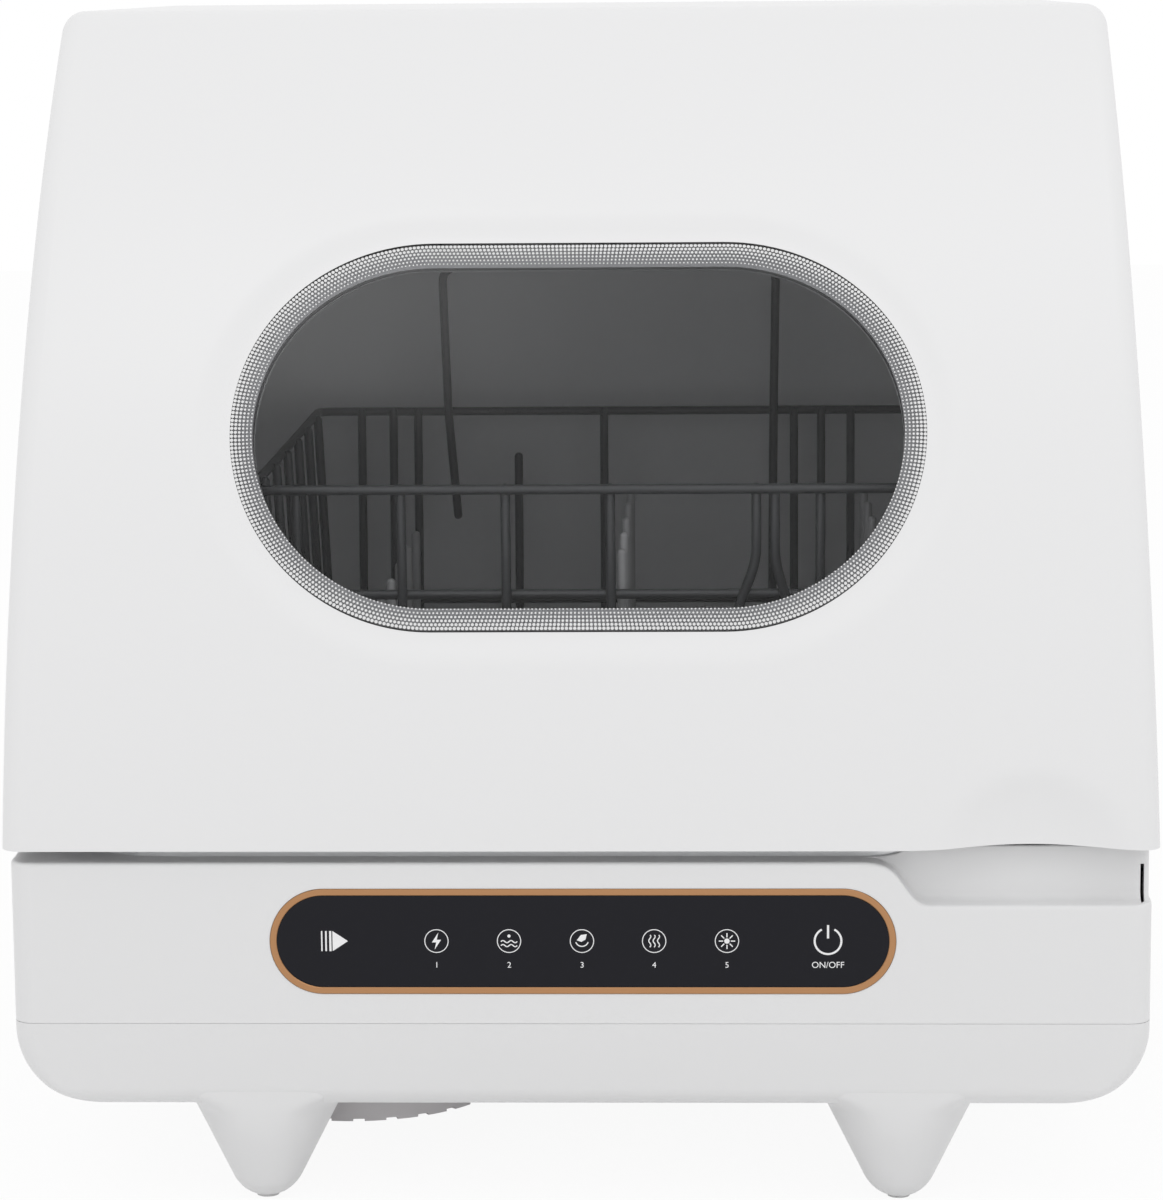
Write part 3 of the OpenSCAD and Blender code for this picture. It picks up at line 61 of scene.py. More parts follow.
def plain(name, color, rough, **sockets):
    """A Principled material with constants on its sockets."""
    m = bpy.data.materials.new(name)
    m.use_nodes = True
    b = m.node_tree.nodes["Principled BSDF"]
    b.inputs["Base Color"].default_value = (*color, 1)
    b.inputs["Roughness"].default_value = rough
    for key, value in sockets.items():
        b.inputs[key.replace("_", " ")].default_value = value
    return m


def put(name, verts, faces, mat, body, nodes=(), smooth=35):
    """Makes a mesh from mm, shades it smooth below an angle, and ties it to its CAD body and nodes."""
    me = bpy.data.meshes.new(name)
    me.from_pydata((np.asarray(verts, float) / 1000).tolist(), [], [list(map(int, f)) for f in faces])
    me.materials.append(mat)
    o = bpy.data.objects.new(name, me)
    bpy.context.collection.objects.link(o)
    shade(o, smooth)
    if body:
        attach(o, body)
        if nodes:
            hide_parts(*nodes)
    return o


def shade(o, angle):
    """Smooth shading, with edges sharper than the angle kept sharp."""
    bm = bmesh.new()
    bm.from_mesh(o.data)
    for f in bm.faces:
        f.smooth = angle > 0
    for e in bm.edges:
        e.smooth = not (len(e.link_faces) == 2 and e.calc_face_angle(0) > math.radians(angle))
    bm.to_mesh(o.data)
    bm.free()


def quads(rows, cols, closed=True, base=0, flip=False):
    """Faces of a grid of points, wrapped round its columns when closed."""
    out = []
    for j in range(rows - 1):
        for i in range(cols if closed else cols - 1):
            k = (i + 1) % cols
            lo, hi = base + j * cols, base + (j + 1) * cols
            f = (lo + i, lo + k, hi + k, hi + i)
            out.append(f[::-1] if flip else f)
    return out


def carve(o, cutters, mode="DIFFERENCE", smooth=35):
    """Cuts each cutter out of o for good, then removes the cutters."""
    for c in cutters:
        m = o.modifiers.new("cut", "BOOLEAN")
        m.operation, m.object, m.solver = mode, c, "EXACT"
    dg = bpy.context.evaluated_depsgraph_get()
    made = bpy.data.meshes.new_from_object(o.evaluated_get(dg))
    o.modifiers.clear()
    o.data = made
    shade(o, smooth)
    for c in cutters:
        bpy.data.objects.remove(c)


def prism(outline, lo, hi, frame_of=lambda p: p):
    """A closed solid over an (x, y) outline between two heights, as a plain cutter object."""
    n = len(outline)
    v = [frame_of((x, y, z)) for z in (lo, hi) for x, y in outline]
    f = [list(range(n))[::-1], list(range(n, 2 * n))] + quads(2, n)
    return put("cutter", v, f, None, None)


def oval(w, h, n=48):
    """A long oval's outline, w by h, centred."""
    r, half = h / 2, (w - h) / 2
    return [(s * (half + r * math.cos(t)), s * r * math.sin(t)) for s in (1, -1)
            for t in np.linspace(-math.pi / 2, math.pi / 2, n)]


def box_outline(x0, x1, y0, y1, r=0.0, n=8):
    """A rounded rectangle's outline."""
    if r <= 0:
        return [(x0, y0), (x1, y0), (x1, y1), (x0, y1)]
    out = []
    corners = ((x1 - r, y0 + r, -90), (x1 - r, y1 - r, 0), (x0 + r, y1 - r, 90), (x0 + r, y0 + r, 180))
    for cx, cy, a in corners:
        for t in np.linspace(a, a + 90, n):
            out.append((cx + r * math.cos(math.radians(t)), cy + r * math.sin(math.radians(t))))
    return out


def on_window(p):
    """From across, up and out of the window's plane to the machine."""
    x, u, out = p
    a = WIN_A
    return (x, CY - R * math.cos(a) + u * math.sin(a) - out * math.cos(a),
            WIN_Z + u * math.cos(a) + out * math.sin(a))


def on_front(x, s, depth):
    """A point s along the front's curve from the window's middle, and depth below the surface."""
    a = WIN_A + s / R
    return (x, CY - (R - depth) * math.cos(a), CZ + (R - depth) * math.sin(a))


def hood_front(z, d=0.0, fr=FRONT_R):
    """The front's y at height z, drawn in by d: the long curve, then the round of its top edge."""
    fz = TOP_Z - fr
    fy = CY - math.sqrt((R - fr) ** 2 - (fz - CZ) ** 2)
    blend = CZ + (fz - CZ) * R / (R - fr)
    if z <= blend:
        return CY - math.sqrt((R - d) ** 2 - (z - CZ) ** 2)
    return fy - math.sqrt(max(max(fr - d, 1) ** 2 - (z - fz) ** 2, 0))


def hood_ring(z, d, xs, shaped):
    """One level of the hood, drawn in by d; shaped adds the dish and the scoop to the front."""
    top = TOP_Z - d
    er = max(8 - d, 1)
    cut = 0 if z <= top - er else er - math.sqrt(max(er * er - (z - (top - er)) ** 2, 0))
    hw = 212.5 - 11.3 * (z - HOOD_Z) / 303.5 - d - cut
    yb = 199 - d - cut
    r = max(8 - d - cut, 0.4)
    yf = hood_front(z, d)
    pts = []
    a = math.asin(min((z - CZ) / R, 1))
    for q in xs:
        x = max(-(hw - r), min(hw - r, q * (hw - r) / 204.5))
        y, zz = yf, z
        if shaped:
            e = math.hypot(max(abs(x) - (PANE_W - PANE_H) / 2, 0), R * (a - WIN_A)) - PANE_H / 2
            t = 1 - min(max(e / DISH_W, 0), 1)
            k = DISH * t * t * (3 - 2 * t)
            y, zz = yf + k * math.cos(a), z - k * math.sin(a)
            inside = BALL ** 2 - (x - SCOOP_X) ** 2 - (z - HOOD_Z) ** 2
            ys = BALL_Y + math.sqrt(max(inside, 0))
            h = min(max(0.5 + (ys - y) / 2.4, 0), 1)
            y = y * (1 - h) + ys * h + 1.2 * h * (1 - h)
        pts.append((x, y, zz))
    for t in np.linspace(0, 90, 9)[1:]:
        t = math.radians(t)
        pts.append((hw - r + r * math.sin(t), yf + r - r * math.cos(t), z))
    for q in np.linspace(0, 1, 14)[1:-1]:
        pts.append((hw, (yf + r) * (1 - q) + (yb - r) * q, z))
    for t in np.linspace(0, 90, 9):
        t = math.radians(t)
        pts.append((hw - r + r * math.cos(t), yb - r + r * math.sin(t), z))
    for q in np.linspace(1, -1, 26)[1:-1]:
        pts.append((q * (hw - r), yb, z))
    for t in np.linspace(90, 0, 9):
        t = math.radians(t)
        pts.append((-(hw - r + r * math.cos(t)), yb - r + r * math.sin(t), z))
    for q in np.linspace(1, 0, 14)[1:-1]:
        pts.append((-hw, (yf + r) * (1 - q) + (yb - r) * q, z))
    for t in np.linspace(90, 0, 9)[:-1]:
        t = math.radians(t)
        pts.append((-(hw - r + r * math.sin(t)), yf + r - r * math.cos(t), z))
    # over the notch the lower edge rises a little
    rise = 1.6 * (1 - min((z - HOOD_Z) / 12, 1)) ** 2
    return [(x, y, zz + rise * math.cos(math.pi * (x - 165) / 104) ** 2 if y < 0 and abs(x - 165) < 52 else zz)
            for x, y, zz in pts]


fine = 1.7
xs = np.concatenate([np.linspace(-204.5, -146, 14)[:-1], np.linspace(-146, 120, int(266 / fine)),
                     np.linspace(120, 204.5, int(84 / fine) + 1)[1:]])
zs = np.concatenate([np.linspace(HOOD_Z, 172, 20)[:-1], np.linspace(172, 198, 8)[:-1],
                     np.linspace(198, 378, int(190 / fine)), np.linspace(378, 426, 12)[1:-1],
                     TOP_Z - FRONT_R + FRONT_R * np.sin(np.radians(np.linspace(0, 90, 17)))])
outer = [hood_ring(z, 0, xs, True) for z in zs]
inner_x = np.linspace(-204.5, 204.5, len(xs))
inner_z = np.concatenate([np.linspace(HOOD_Z, TOP_Z - FRONT_R, 30), TOP_Z - HOOD_T - (FRONT_R - HOOD_T)
                          * (1 - np.sin(np.radians(np.linspace(8, 90, 8))))])
inner = [hood_ring(z, HOOD_T, inner_x, False) for z in inner_z]
cols = len(outer[0])
for i in range(len(xs)):   # the wall behind the scoop keeps its thickness
    for j, ring in enumerate(inner):
        x, y, z = ring[i]
        near = BALL ** 2 - (x - SCOOP_X) ** 2 - (z - HOOD_Z) ** 2
        ring[i] = (x, max(y, BALL_Y + math.sqrt(max(near, 0)) + HOOD_T), z)
verts = [p for ring in outer for p in ring] + [p for ring in inner for p in ring]
n_out = len(outer) * cols
faces = quads(len(outer), cols) + quads(len(inner), cols, base=n_out, flip=True)
faces += [(i, n_out + i, n_out + (i + 1) % cols, (i + 1) % cols) for i in range(cols)]
faces.append(list(range(n_out - cols, n_out)))
faces.append(list(range(len(verts) - cols, len(verts)))[::-1])
white = plain("white_plastic", (0.84, 0.84, 0.845), 0.36, Specular_IOR_Level=0.4)
hood = put("hood_shell", verts, faces, white, "hood", ["hood_shell"])
cuts = [prism(oval(PANE_W + 0.1, PANE_H + 0.1, 64), -60, 20, on_window)]
for s in (-1, 1):
    x0 = 124.5 if s > 0 else -178.5
    cuts.append(prism(box_outline(x0, x0 + 54, 181, 201), HOOD_Z - 1, HOOD_Z + 24))
arc = [(math.sin(t), -math.cos(t)) for t in np.linspace(0, math.pi / 2, 17)]
side = [(187 + 15 * y, 151.5 + 15 * z) for y, z in arc] + [(230, 151.5), (230, 130), (187, 130)]
cuts.append(prism(side, -230, 230, lambda p: (p[2], p[0], p[1])))
carve(hood, cuts)
# the ledge that carries the pane, a band that follows the curve behind it
ledge = [[on_front(x, s, d) for x, s in oval(w, h, 64)] for w, h, d in (
    (PANE_W + 0.5, PANE_H + 0.5, 5.42), (PANE_W - 16, PANE_H - 16, 5.42), (PANE_W - 16, PANE_H - 16, 7.6),
    (PANE_W + 6, PANE_H + 6, 7.6))]
n = len(ledge[0])
dark = plain("pane_ledge", (0.38, 0.38, 0.39), 0.6)
band = put("hood_ledge", [p for ring in ledge for p in ring], quads(4, n), dark, "hood")

# ---------------------------------------------------------------- window_pane
# A smoked pane bent to the front's curve, lying in its pocket. A printed border of staggered white
# dots that grow towards the edge runs round it.
def pane_rings(depth, inset):
    """Rings of the pane from its middle line to its edge, at a depth below the front."""
    out = []
    for q in (0.0, 0.25, 0.5, 0.75, 0.9, 1.0):
        r, half = (PANE_H / 2 - inset) * q, (PANE_W - PANE_H) / 2
        out.append([on_front(s * (half + r * math.cos(t)), s * r * math.sin(t), depth) for s in (1, -1)
                    for t in np.linspace(-math.pi / 2, math.pi / 2, 49)])
    return out


front, back = pane_rings(2.5, 0.02), pane_rings(5.35, 0.02)
n = len(front[0])
stack = front + back[::-1]
pane_verts = [p for ring in stack for p in ring]
pane_faces = quads(len(stack), n)
smoke = bpy.data.materials.new("smoked_glass")
smoke.use_nodes = True
nt = smoke.node_tree
nt.nodes.clear()
out = nt.nodes.new("ShaderNodeOutputMaterial")
mix = nt.nodes.new("ShaderNodeMixShader")
see = nt.nodes.new("ShaderNodeBsdfTransparent")
see.inputs["Color"].default_value = (0.95, 0.953, 0.957, 1)
shine = nt.nodes.new("ShaderNodeBsdfGlossy")
shine.inputs["Roughness"].default_value = 0.22
shine.inputs["Color"].default_value = (0.9, 0.9, 0.9, 1)
fres = nt.nodes.new("ShaderNodeFresnel")
fres.inputs["IOR"].default_value = 1.25
nt.links.new(fres.outputs[0], mix.inputs["Fac"])
nt.links.new(see.outputs[0], mix.inputs[1])
nt.links.new(shine.outputs[0], mix.inputs[2])
nt.links.new(mix.outputs[0], out.inputs["Surface"])
pane = put("window_pane", pane_verts, pane_faces, smoke, "hood", ["window_pane"], smooth=40)

# the printed dots: one disc set on points that carry a size and the surface's direction
DOT_WIDTHS = [1.32, 1.20, 1.06, 0.92, 0.78, 0.62]
DOT_EDGE, DOT_ROW, DOT_PITCH = 0.62, 1.42, 1.47
spots, sizes, ups = [], [], []
for row, dot in enumerate(DOT_WIDTHS):
    e = -DOT_EDGE - DOT_ROW * row
    r, half = PANE_H / 2 + e, (PANE_W - PANE_H) / 2
    length = 4 * half + 2 * math.pi * r
    count = int(round((4 * half + 2 * math.pi * (PANE_H / 2 - 4)) / DOT_PITCH))
    for i in range(count):
        q = (i + 0.5 * (row % 2)) / count * length
        if q < 2 * half:
            x, s = -half + q, -r
        elif q < 2 * half + math.pi * r:
            t = (q - 2 * half) / r - math.pi / 2
            x, s = half + r * math.cos(t), r * math.sin(t)
        elif q < 4 * half + math.pi * r:
            x, s = half - (q - 2 * half - math.pi * r), r
        else:
            t = (q - 4 * half - math.pi * r) / r + math.pi / 2
            x, s = -half + r * math.cos(t), r * math.sin(t)
        spots.append([c / 1000 for c in on_front(x, s, 2.47)])
        a = WIN_A + s / R
        ups.append((0, -math.cos(a), math.sin(a)))
        sizes.append(dot / 2000)
me = bpy.data.meshes.new("window_dots")
me.from_pydata(spots, [], [])
me.attributes.new("spot_size", "FLOAT", "POINT").data.foreach_set("value", sizes)
me.attributes.new("spot_up", "FLOAT_VECTOR", "POINT").data.foreach_set("vector", np.ravel(ups))
dots = bpy.data.objects.new("window_dots", me)
bpy.context.collection.objects.link(dots)
ink = plain("dot_ink", (0.80, 0.80, 0.80), 0.5)
ng = bpy.data.node_groups.new("dot_border", "GeometryNodeTree")
ng.interface.new_socket("Geometry", in_out="INPUT", socket_type="NodeSocketGeometry")
ng.interface.new_socket("Sides", in_out="INPUT", socket_type="NodeSocketInt")
ng.interface.new_socket("Geometry", in_out="OUTPUT", socket_type="NodeSocketGeometry")
gi, go = ng.nodes.new("NodeGroupInput"), ng.nodes.new("NodeGroupOutput")
disc = ng.nodes.new("GeometryNodeMeshCircle")
disc.fill_type = "NGON"
disc.inputs["Radius"].default_value = 1
inst = ng.nodes.new("GeometryNodeInstanceOnPoints")
size = ng.nodes.new("GeometryNodeInputNamedAttribute")
size.data_type = "FLOAT"
size.inputs["Name"].default_value = "spot_size"
up = ng.nodes.new("GeometryNodeInputNamedAttribute")
up.data_type = "FLOAT_VECTOR"
up.inputs["Name"].default_value = "spot_up"
turn = ng.nodes.new("FunctionNodeAlignRotationToVector")
turn.axis = "Z"
real = ng.nodes.new("GeometryNodeRealizeInstances")
paint = ng.nodes.new("GeometryNodeSetMaterial")
paint.inputs["Material"].default_value = ink
L = ng.links.new
L(gi.outputs["Geometry"], inst.inputs["Points"])
L(gi.outputs["Sides"], disc.inputs["Vertices"])
L(disc.outputs["Mesh"], inst.inputs["Instance"])
L([s for s in size.outputs if s.name == "Attribute" and s.enabled][0], inst.inputs["Scale"])
L([s for s in up.outputs if s.name == "Attribute" and s.enabled][0], turn.inputs["Vector"])
L(turn.outputs["Rotation"], inst.inputs["Rotation"])
L(inst.outputs["Instances"], real.inputs["Geometry"])
L(real.outputs["Geometry"], paint.inputs["Geometry"])
L(paint.outputs["Geometry"], go.inputs["Geometry"])
mod = dots.modifiers.new("dots", "NODES")
mod.node_group = ng
mod[[i for i in ng.interface.items_tree if i.name == "Sides"][0].identifier] = 8
dg = bpy.context.evaluated_depsgraph_get()
dots_mesh = bpy.data.meshes.new_from_object(dots.evaluated_get(dg))
dots.modifiers.clear()
dots.data = dots_mesh
if not dots_mesh.materials:
    dots_mesh.materials.append(ink)
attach(dots, "hood")

# ---------------------------------------------------------------- base_housing
# The white housing under the hood. Its top edge carries the finger notch, which goes in at the right
# of the front, turns the corner and runs out along the side.
SPLIT_Z, DECK_Z = 71.0, 131.5
HW, FRONT, BACK = 210.0, -202.0, 205.0
WALL, EDGE_R = 2.6, 8.0
# the notch's height, its depth at the side, at the front and where the two meet, and its lip
NOTCH_H, N_SIDE, N_FRONT, N_CORNER, LIP = 16.0, 2.4, 9.6, 0.6, 4.3
FLOOR_Z = DECK_Z - NOTCH_H
# how far the notch has dropped, as a share of its height, along the front
NOTCH_X = [105, 109, 112.7, 116.3, 118.8, 121, 123.1, 125.7, 127.5]
NOTCH_DROP = [0, 0.03, 0.1, 0.28, 0.52, 0.72, 0.88, 0.98, 1]


def ease(t):
    t = min(max(t, 0), 1)
    return t * t * (3 - 2 * t)


# the plan's outline as points with their outward direction, starting at the left end of the front
plan = []
er = EDGE_R
for x in np.concatenate([np.linspace(-HW + er, 96, 60)[:-1], np.linspace(96, 140, 60)[:-1],
                         np.linspace(140, HW - er, 18)]):
    plan.append((x, FRONT, 0, -1))
for t in np.linspace(0, 90, 14)[1:]:
    t = math.radians(t)
    plan.append((HW - er + er * math.sin(t), FRONT + er - er * math.cos(t), math.sin(t), -math.cos(t)))
for y in np.concatenate([np.linspace(FRONT + er, -130, 30)[1:-1], np.linspace(-130, -106, 30)[:-1],
                         np.linspace(-106, BACK - er, 24)]):
    plan.append((HW, y, 1, 0))
for t in np.linspace(0, 90, 10)[1:]:
    t = math.radians(t)
    plan.append((HW - er + er * math.cos(t), BACK - er + er * math.sin(t), math.cos(t), math.sin(t)))
for x in np.linspace(HW - er, -HW + er, 40)[1:]:
    plan.append((x, BACK, 0, 1))
for t in np.linspace(0, 90, 10)[1:]:
    t = math.radians(t)
    plan.append((-HW + er - er * math.sin(t), BACK - er + er * math.cos(t), -math.sin(t), math.cos(t)))
for y in np.linspace(BACK - er, FRONT + er, 24)[1:]:
    plan.append((-HW, y, -1, 0))
for t in np.linspace(0, 90, 10)[1:-1]:
    t = math.radians(t)
    plan.append((-HW + er - er * math.cos(t), FRONT + er - er * math.sin(t), -math.cos(t), -math.sin(t)))


def drop_at(x, y):
    """How far the notch's floor lies below the deck here."""
    if y < FRONT + 20:
        d = NOTCH_H * sum(np.interp(x + s, NOTCH_X, NOTCH_DROP) for s in (-1.2, 0, 1.2)) / 3
    else:
        d = NOTCH_H
    return d * (1 - ease((y + 130) / 22)) if x > 150 else (d if y < FRONT + 20 else 0)


def back_wall(x, y, nx, ny):
    """The matching point of the notch's back wall for a point of the outline."""
    r = 3.0
    x1, y1 = HW - N_CORNER, FRONT + N_FRONT
    if ny < -0.999:
        return (min(x, x1 - r) if x < 170 else 170 + (x1 - r - 170) * (x - 170) / (HW - er - 170), y1)
    if nx > 0.999 and y < 100:
        if y < -130:
            y = y1 + r + (y - (FRONT + er)) * (-130 - y1 - r) / (-130 - FRONT - er)
        return (x1 - (N_SIDE - N_CORNER) * ease((y + 187) / 17), y)
    if nx > 0 and ny < 0:
        return (x1 - r + r * nx, y1 + r + r * ny)
    return (x - nx * N_SIDE, y - ny * N_SIDE)


rows = []
low = 4.5
for x, y, nx, ny in plan:
    d = drop_at(x, y)
    bx, by = back_wall(x, y, nx, ny)
    fz = DECK_Z - d
    gx, gy = bx - x, by - y
    g = math.hypot(gx, gy)
    ux, uy = gx / g, gy / g
    edge = min(1.6, g * 0.5)
    col = [(x, y, SPLIT_Z), (x, y, SPLIT_Z + 4), (x, y, 90), (x, y, 110), (x, y, fz - edge * 1.6)]
    for t in np.linspace(0, 90, 7):
        t = math.radians(t)
        k = edge * (1 - math.cos(t))
        col.append((x + ux * k, y + uy * k, fz - edge + edge * math.sin(t)))
    f2 = min(low, d * 0.45, g * 0.4)
    for t in np.linspace(0, 90, 7):
        t = math.radians(t)
        k = g - f2 + f2 * math.sin(t)
        k = max(k, edge)
        col.append((x + ux * k, y + uy * k, fz + f2 - f2 * math.cos(t)))
    e2 = min(0.6, d * 0.45)
    lip = LIP * d / NOTCH_H
    for t in np.linspace(0, 90, 6):
        t = math.radians(t)
        k = e2 * (1 - math.cos(t))
        col.append((bx - nx * k, by - ny * k, DECK_Z + lip - e2 + e2 * math.sin(t)))
    col.append((bx - nx * 1.3, by - ny * 1.3, DECK_Z + lip))
    col.append((bx - nx * 1.6, by - ny * 1.6, DECK_Z))
    rows.append(col)
m, n = len(rows[0]), len(rows)
verts = [rows[i][j] for j in range(m) for i in range(n)]
faces = quads(m, n)
faces.append(list(range((m - 1) * n, m * n)))
faces.append(list(range(n))[::-1])
# the housing is the hood's white plastic painted a little darker: painted shade for the lower part, which the
# light reaches less
base_white_painted_shade = plain("base_white_painted_shade", (0.80, 0.80, 0.805), 0.36, Specular_IOR_Level=0.4)
housing = put("base_housing", verts, faces, base_white_painted_shade, "base", ["base_housing"])
inside = prism(box_outline(-HW + WALL, HW - WALL, FRONT + WALL, BACK - WALL, EDGE_R - WALL),
               SPLIT_Z - 1, DECK_Z - WALL)
# what stays solid: round the notch, and round the two pockets of the ports
keep = [prism([(101, -205), (205, -205), (205, -110), (212, -110), (212, -230), (101, -230)],
              FLOOR_Z - WALL, DECK_Z + 1),
        prism(box_outline(101, 206, -206, -189.8), FLOOR_Z - WALL, DECK_Z + 1)]
for px in (-130, 125):
    keep.append(prism(box_outline(px - 25.6, px + 25.6, 180.4, 215), 71.4, 118.6))
carve(inside, keep)
PANEL_X, PANEL_Z = 1.2, 102.0


def facing_front(p):
    """From across, up and out of the panel's middle to the machine."""
    return (PANEL_X + p[0], FRONT - p[2], PANEL_Z + p[1])


# the panel's step and hole, the tub's opening, the vent's hole and the gland's slot
cuts = [inside, prism(oval(230.3, 39.8), -1.9, 2, facing_front), prism(oval(216, 25.5), -4, 2, facing_front),
        prism(box_outline(-186.6, 186.6, -185.6, 162.6, 32), DECK_Z - 4, DECK_Z + 1),
        prism(box_outline(-22, 62, 197, 206), 85, 115), prism(box_outline(-67, -53, 197, 206), 70, 98.1)]
for px in (-130, 125):
    cuts.append(prism(box_outline(px - 23, px + 23, 183, 206), 74, 116))
for px, pz, pr in ((-130, 93, 15.0), (125, 86, 9.8)):
    hole = [(px + pr * math.cos(t), pz + pr * math.sin(t)) for t in np.linspace(0, 2 * math.pi, 33)[:-1]]
    cuts.append(prism(hole, -206, -178, lambda p: (p[0], -p[2], p[1])))
carve(housing, cuts)

# ---------------------------------------------------------------- bottom_tray
# The tray closes the base from below. Its lower corners are large rounds, and four cone legs with round
# tips are moulded into it, leaning out so that their fronts are flush with it.
TRAY_Z = 39.0


def tray_ring(z, d=0.0):
    """One level of the tray, drawn in by d: large rounds at the sides, small ones front and back."""
    q = min(max((z - TRAY_Z - d) / (29 - d), 0), 1)
    hw = HW - 29 + (29 - d) * math.sqrt(max(1 - (1 - q) ** 2, 0))
    q = min(max((z - TRAY_Z - d) / (7 - d), 0), 1)
    dy = 7 - (7 - d) * math.sqrt(max(1 - (1 - q) ** 2, 0))
    return [(x, y, z) for x, y in box_outline(-hw, hw, FRONT + dy, BACK - dy, max(8 - d, 2), 10)]


levels = [TRAY_Z + 29 * (1 - math.cos(t)) for t in np.linspace(0, math.pi / 2, 40)] + [70.75]
rings = [tray_ring(z) for z in levels]
n = len(rings[0])
# a fine shadow line under the housing: the tray's rim steps in a little
rings.append([(x * 0.9985, y * 0.9985, 70.75) for x, y, _ in rings[-1]])
rings.append([(x, y, SPLIT_Z) for x, y, _ in rings[-1]])
inner_levels = [TRAY_Z + WALL + (29 - WALL) * (1 - math.cos(t)) for t in np.linspace(0, math.pi / 2, 14)]
inner = [tray_ring(z, WALL) for z in inner_levels + [SPLIT_Z]]
verts = [p for r in rings for p in r] + [p for r in inner[::-1] for p in r]
faces = quads(len(rings) + len(inner), n)
faces.append(list(range(n))[::-1])
faces.append(list(range(len(verts) - n, len(verts))))
# the tray and its legs are the hood's white plastic painted darker still: painted shade for the lowest part,
# which the light reaches least
tray_white_painted_shade = plain("tray_white_painted_shade", (0.79, 0.79, 0.795), 0.36, Specular_IOR_Level=0.4)
tray = put("bottom_tray", verts, faces, tray_white_painted_shade, "base", ["bottom_tray"])
hole = [(-90 + 50 * math.cos(t), -97 + 50 * math.sin(t)) for t in np.linspace(0, 2 * math.pi, 65)[:-1]]
cuts = [prism(hole, 30, 45)]
for i in range(-4, 5):   # slots under the fan
    cuts.append(prism(box_outline(156 + i * 5 - 1.25, 156 + i * 5 + 1.25, 50, 82), 30, 45))
carve(tray, cuts)
# one leg: level rings round a leaning axis, flared where they meet the tray
LEG_X, LEG_IN, LEG_TOP, LEG_LEAN, TIP_R, TAPER = 118.5, 18, 51, 0.21, 14.7, math.radians(27.5)
for nx, sx in (("left", -1), ("right", 1)):
    for ny, sy in (("front", -1), ("back", 1)):
        stop = FRONT + 0.15 if sy < 0 else BACK - 0.15
        tip_y = FRONT + LEG_IN if sy < 0 else BACK - LEG_IN
        rings = []
        for q in np.linspace(0, 1, 44):
            z = 0.8 + (LEG_TOP - 0.8) * q
            if z < TIP_R * (1 - math.sin(TAPER)):
                r = math.sqrt(max(TIP_R * TIP_R - (TIP_R - z) ** 2, 0))
            else:
                r = TIP_R * math.cos(TAPER) + (z - TIP_R * (1 - math.sin(TAPER))) * math.tan(TAPER)
            flare = min(max(z - (TRAY_Z - 5), 0), 8)
            r += flare * flare * 0.07
            cy = tip_y - sy * z * LEG_LEAN
            ring = []
            for t in np.linspace(0, 2 * math.pi, 73)[:-1]:
                x, y = sx * LEG_X + r * math.cos(t), cy + r * math.sin(t)
                inward = sy * (stop - y)   # a soft stop keeps the leg behind the base's face
                y -= sy * (math.log1p(math.exp(inward)) - inward)
                ring.append((x, y, z))
            rings.append(ring)
        n = len(rings[0])
        faces = quads(len(rings), n) + [list(range(n))[::-1]]
        put(f"leg_{ny}_{nx}", [p for r in rings for p in r], faces, tray_white_painted_shade, "base", (),
            smooth=50)

# ---------------------------------------------------------------- panel_trim and panel_glass
# The control strip: a black cover glass in a copper-coloured trim, set into the housing's front.
def ring_band(profile, name, mat, w, h, node):
    """A profile of (inset, height out of the front) swept round an oval."""
    out = []
    for inset, up in profile:
        out += [facing_front((x, z, up)) for x, z in oval(w - 2 * inset, h - 2 * inset, 64)]
    return put(name, out, quads(len(profile), 128), mat, "base", [node], smooth=30)


copper = plain("copper_trim", (0.47, 0.245, 0.115), 0.34, Metallic=0.75)
ring_band([(0.1, -1.9), (0.0, 0.1), (0.25, 0.35), (2.2, 0.35), (2.45, 0.1), (2.5, -1.9)], "panel_trim", copper,
          230, 39.5, "panel_trim")
black = plain("panel_black", (0.010, 0.010, 0.014), 0.12, Specular_IOR_Level=0.16)
levels = ((224.9, 34.4, -1.8), (224.9, 34.4, 0.0), (224.3, 33.8, 0.12))
face = [facing_front((x, z, up)) for wide, tall, up in levels for x, z in oval(wide, tall, 64)]
put("panel_glass", face, quads(3, 128) + [list(range(256, 384))], black, "base", ["panel_glass"],
    smooth=30)

# ---------------------------------------------------------------- panel_marks
# The lit marks on the glass: start and pause, five numbered programmes in rings, and the power key.
mark_v, mark_f = [], []


def mark(points, cx, cz):
    """A flat patch on the glass from outline points about (cx, cz)."""
    base = len(mark_v)
    mark_v.extend(facing_front((cx + x, cz + z, MARK_UP)) for x, z in points)
    mark_f.append(list(range(base, base + len(points))))


def stroke(points, w, cx, cz):
    """A line of width w through the points."""
    for (x0, z0), (x1, z1) in zip(points, points[1:]):
        d = math.hypot(x1 - x0, z1 - z0)
        nx, nz = -(z1 - z0) / d * w / 2, (x1 - x0) / d * w / 2
        mark([(x0 + nx, z0 + nz), (x0 - nx, z0 - nz), (x1 - nx, z1 - nz), (x1 + nx, z1 + nz)], cx, cz)


def arc_points(r, a0, a1, n=24, cx=0.0, cz=0.0):
    """Points on an arc between two angles in degrees."""
    turns = np.radians(np.linspace(a0, a1, n))
    return [(cx + r * math.cos(a), cz + r * math.sin(a)) for a in turns]


